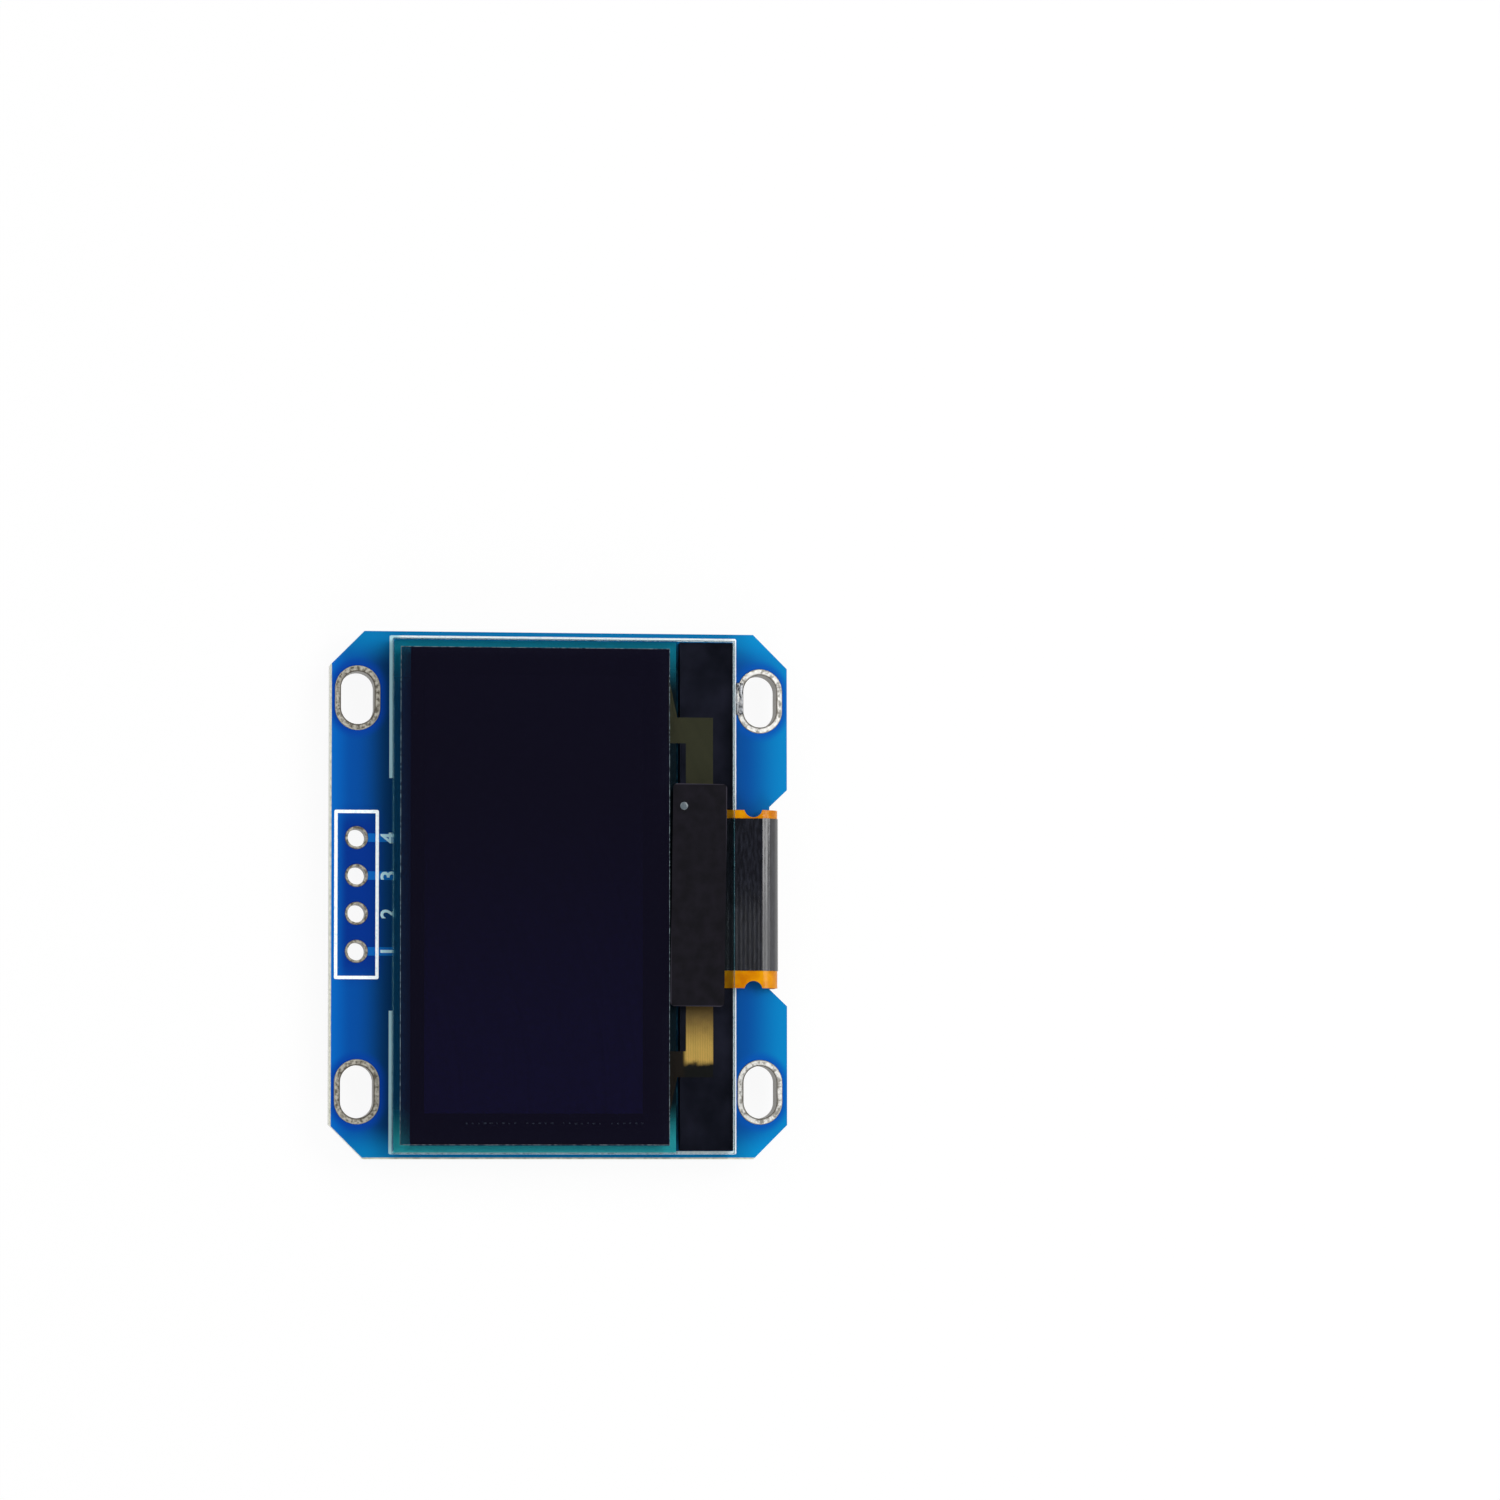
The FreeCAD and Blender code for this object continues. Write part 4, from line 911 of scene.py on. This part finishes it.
def rearLegend():
    size = rearLegendSizes
    ink, gap, past = size["thick"], size["gap"], size["pastBody"]
    bm = bmesh.new()
    names = [f"capacitor_{n}" for n in range(1, 8)] + [f"resistor_{n}" for n in range(1, 7)]
    for name in names:
        # a line along each side of a two-ended part
        low, high = [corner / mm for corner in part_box(name)]
        for side in (low.x - gap, high.x + gap):
            addBar(bm, (side, low.y - past), (side, high.y + past), size["line"], -ink, 0.0)
    for name, leads in (("regulator_body", "regulator_leads"), ("diode_body", "diode_leads")):
        low, high = [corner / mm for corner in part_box(name)]
        leadLow, leadHigh = [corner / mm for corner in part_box(leads)]
        lowCorner = (low.x - gap, leadLow.y - size["pastLeads"])
        highCorner = (high.x + gap, leadHigh.y + size["pastLeads"])
        addOutline(bm, lowCorner, highCorner, size["line"], -ink, 0.0)
    first, last = [middleOf(f"pin_plating_{number}") for number in (1, 4)]
    lowCorner = (first.x - size["pinBoxEnd"], first.y - size["pinBoxSide"])
    highCorner = (last.x + size["pinBoxEnd"], first.y + size["pinBoxSide"])
    addOutline(bm, lowCorner, highCorner, size["pinBoxLine"], -ink, 0.0)
    addDigits(bm, besidePins(-ink / 2), pinNumberSizes["height"], ink, True)
    return fromBmesh("rearLegend", bm, finishes["legend_ink"])


bandSizes = {
    "wide": 0.22,
    "fromEnd": 0.2,
    "fromSides": 0.08,
    "thick": 0.01,
}


def diodeBand():
    # the printed bar at the diode's cathode end
    low, high = [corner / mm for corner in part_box("diode_body")]
    bm = bmesh.new()
    line, inset = high.y - bandSizes["fromEnd"], bandSizes["fromSides"]
    addBar(bm, (low.x + inset, line), (high.x - inset, line), bandSizes["wide"],
           low.z - bandSizes["thick"], low.z + bandSizes["thick"])
    grey = fineGrain("diodeInk", "#9EA2A4", "#B8BCBE", 0.2, 0.5)
    return fromBmesh("diodeBand", bm, grey)


rearTraces()
rearLegend()
diodeBand()
print("back of the board drawn")


# Small marks on the display

dotSizes = {
    "count": 30,
    "missing": 0.22,         # share of them that can't be seen
    "fromLow": 2.05,         # from the panel's lower edge
    "stray": 0.03,
    "start": 6.3,
    "end": -5.5,
    "size": 0.1,
    "shortest": 0.6,         # shares of that size
    "longest": 1.5,
    "aheadOfIt": 0.6,        # a dot's front end, as a share of its rear end
    "thick": 0.012,
    "under": 0.002,          # below the glass
}


def testDots():
    # the ends of the column lines, a broken row of faint gold dots under the front glass
    dots = dotSizes
    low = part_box("front_glass")[0] / mm
    lineTop = low.z - dots["under"]
    step = (dots["end"] - dots["start"]) / (dots["count"] - 1)
    bm = bmesh.new()
    for index in range(dots["count"]):
        if random.random() < dots["missing"]:
            continue
        y = dots["start"] + step * index
        x = low.x + dots["fromLow"] + random.uniform(-dots["stray"], dots["stray"])
        size = dots["size"] * random.uniform(dots["shortest"], dots["longest"])
        addBar(bm, (x, y - size), (x, y + size * dots["aheadOfIt"]), dots["size"],
               lineTop - dots["thick"], lineTop)
    return fromBmesh("columnDots", bm, finishes["contact_tin"])


bubbleSizes = {
    "x": 6.0,
    "y": -8.25,
    "radius": 0.27,
    "rise": 0.05,
}


def tapeBubble():
    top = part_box("light_shield")[1].z / mm
    bm = bmesh.new()
    shape = Matrix.Diagonal((1, 1, bubbleSizes["rise"] / bubbleSizes["radius"], 1))
    place = Matrix.Translation(Vector((bubbleSizes["x"], bubbleSizes["y"], top)) * mm)
    bmesh.ops.create_uvsphere(bm, u_segments=24, v_segments=12, radius=bubbleSizes["radius"] * mm,
                              matrix=place @ shape)
    pale = newFinish("trappedAir", "#5B656C", 0.18)[0]     # the tape lifted off by trapped air
    piece = fromBmesh("tapeBubble", bm, pale)
    piece.data.shade_smooth()
    return piece


testDots()
tapeBubble()
print("display marks made")


# Studio: floor, world, lamps and camera

studioSizes = {
    "floorHalf": 2.0,        # metres
    "floorWhite": 0.93,      # how much of the floor is seen as plain white
    "fill": 0.40,
    "ceiling": 0.03,
    "ceilingFrom": 0.50,     # upward part of a direction, from where the room darkens
    "ceilingTo": 0.90,
    "eyeDistance": 0.350,    # from the middle of the board's front face
    "eyeLeft": 5.93,         # degrees towards the pin row
    "eyeLow": 2.43,          # degrees towards the lower edge
    "roll": 0.057,
    "aimHeight": 0.0016,
    "lens": 125.0,
    "sensor": 36.0,
    "clipStart": 0.01,
    "middleAcross": 559.3,   # where the eye's axis falls in the 1500 px picture
    "middleDown": 895.5,
    "picture": 1500,
}


def seenAsWhite(tree, rays):
    # 1 for the kinds of ray that see the background itself, 0 for the light it gives
    path = addNode(tree, "ShaderNodeLightPath", {})
    factor = path.outputs[rays[0]]
    for name in rays[1:]:
        factor = addNode(tree, "ShaderNodeMath", {"operation": "MAXIMUM", 0: factor,
                                                  1: path.outputs[name]}).outputs[0]
    return factor


def makeFloor():
    bm = bmesh.new()
    bmesh.ops.create_grid(bm, x_segments=1, y_segments=1, size=studioSizes["floorHalf"],
                          matrix=Matrix.Translation((0, 0, cadBox[0][2])))
    mesh = bpy.data.meshes.new("studioFloor")
    bm.to_mesh(mesh)
    bm.free()
    material = bpy.data.materials.new("whitePaper")
    material.use_nodes = True
    tree = material.node_tree
    tree.nodes.clear()
    paper = addNode(tree, "ShaderNodeBsdfDiffuse", {0: toLinear("#F4F4F4")})
    glow = addNode(tree, "ShaderNodeEmission", {0: toLinear("#FFFFFF"), 1: 1.0})
    seen = seenAsWhite(tree, ["Is Camera Ray", "Is Glossy Ray", "Is Transmission Ray"])
    share = addNode(tree, "ShaderNodeMath", {"operation": "MULTIPLY", 0: seen,
                                             1: studioSizes["floorWhite"]})
    mixed = addNode(tree, "ShaderNodeMixShader",
                    {0: share.outputs[0], 1: paper.outputs[0], 2: glow.outputs[0]})
    addNode(tree, "ShaderNodeOutputMaterial", {"Surface": mixed.outputs[0]})
    mesh.materials.append(material)
    floor = bpy.data.objects.new("studioFloor", mesh)
    scene.collection.objects.link(floor)


def makeWorld():
    # a white room with a dark ceiling, so that flat gloss keeps its colour under the eye
    world = bpy.data.worlds.new("softStudio")
    scene.world = world
    world.use_nodes = True
    tree = world.node_tree
    tree.nodes.clear()
    white = toLinear("#FFFFFF")
    direction = addNode(tree, "ShaderNodeTexCoord", {}).outputs["Generated"]
    axes = addNode(tree, "ShaderNodeSeparateXYZ", {0: direction})
    overhead = addNode(tree, "ShaderNodeMapRange",
                       {"interpolation_type": "SMOOTHSTEP", "Value": axes.outputs["Z"],
                        "From Min": studioSizes["ceilingFrom"], "From Max": studioSizes["ceilingTo"],
                        "To Min": 1.0, "To Max": studioSizes["ceiling"]})
    fill = addNode(tree, "ShaderNodeBackground", {0: white, 1: studioSizes["fill"]})
    gloss = addNode(tree, "ShaderNodeBackground", {0: white, 1: overhead.outputs[0]})
    plain = addNode(tree, "ShaderNodeBackground", {0: white, 1: 1.0})
    first = addNode(tree, "ShaderNodeMixShader",
                    {0: seenAsWhite(tree, ["Is Glossy Ray"]), 1: fill.outputs[0], 2: gloss.outputs[0]})
    last = addNode(tree, "ShaderNodeMixShader",
                   {0: seenAsWhite(tree, ["Is Camera Ray", "Is Transmission Ray"]),
                    1: first.outputs[0], 2: plain.outputs[0]})
    addNode(tree, "ShaderNodeOutputWorld", {"Surface": last.outputs[0]})


lampRows = {
    "keyBox": {"place": (0.145, -0.25, 0.36), "size": (0.24, 0.36), "power": 1.25},
    "pinBox": {"place": (0.20, 0.28, 0.36), "size": (0.26, 0.26), "power": 0.55},
    "footBox": {"place": (-0.34, -0.05, 0.24), "size": (0.20, 0.20), "power": 0.55},
}


def makeLamps():
    for name, row in lampRows.items():
        lamp = bpy.data.lights.new(name, "AREA")
        lamp.shape = "RECTANGLE"
        lamp.size, lamp.size_y = row["size"]
        lamp.energy = row["power"]
        holder = bpy.data.objects.new(name, lamp)
        place = Vector(row["place"])
        holder.matrix_world = Matrix.Translation(place) @ place.to_track_quat("Z", "X").to_matrix().to_4x4()
        scene.collection.objects.link(holder)


def makeCamera():
    size = studioSizes
    low, left, roll = [math.radians(size[name]) for name in ("eyeLow", "eyeLeft", "roll")]
    toEye = Vector((-math.tan(low), math.tan(left), 1)).normalized()
    across = Vector((1, 0, 0)).cross(toEye).normalized()
    up = toEye.cross(across)
    turn = Matrix((across, up, toEye)).transposed().to_4x4() @ Matrix.Rotation(roll, 4, "Z")
    camera = bpy.data.cameras.new("studioCamera")
    camera.lens = size["lens"]
    camera.sensor_width = size["sensor"]
    camera.shift_x = 0.5 - size["middleAcross"] / size["picture"]
    camera.shift_y = size["middleDown"] / size["picture"] - 0.5
    camera.clip_start = size["clipStart"]
    holder = bpy.data.objects.new("studioCamera", camera)
    place = Vector((0, 0, size["aimHeight"])) + toEye * size["eyeDistance"]
    holder.matrix_world = Matrix.Translation(place) @ turn
    scene.collection.objects.link(holder)
    scene.camera = holder


makeFloor()
makeWorld()
makeLamps()
makeCamera()
scene.view_settings.view_transform = "Standard"
print("studio ready")
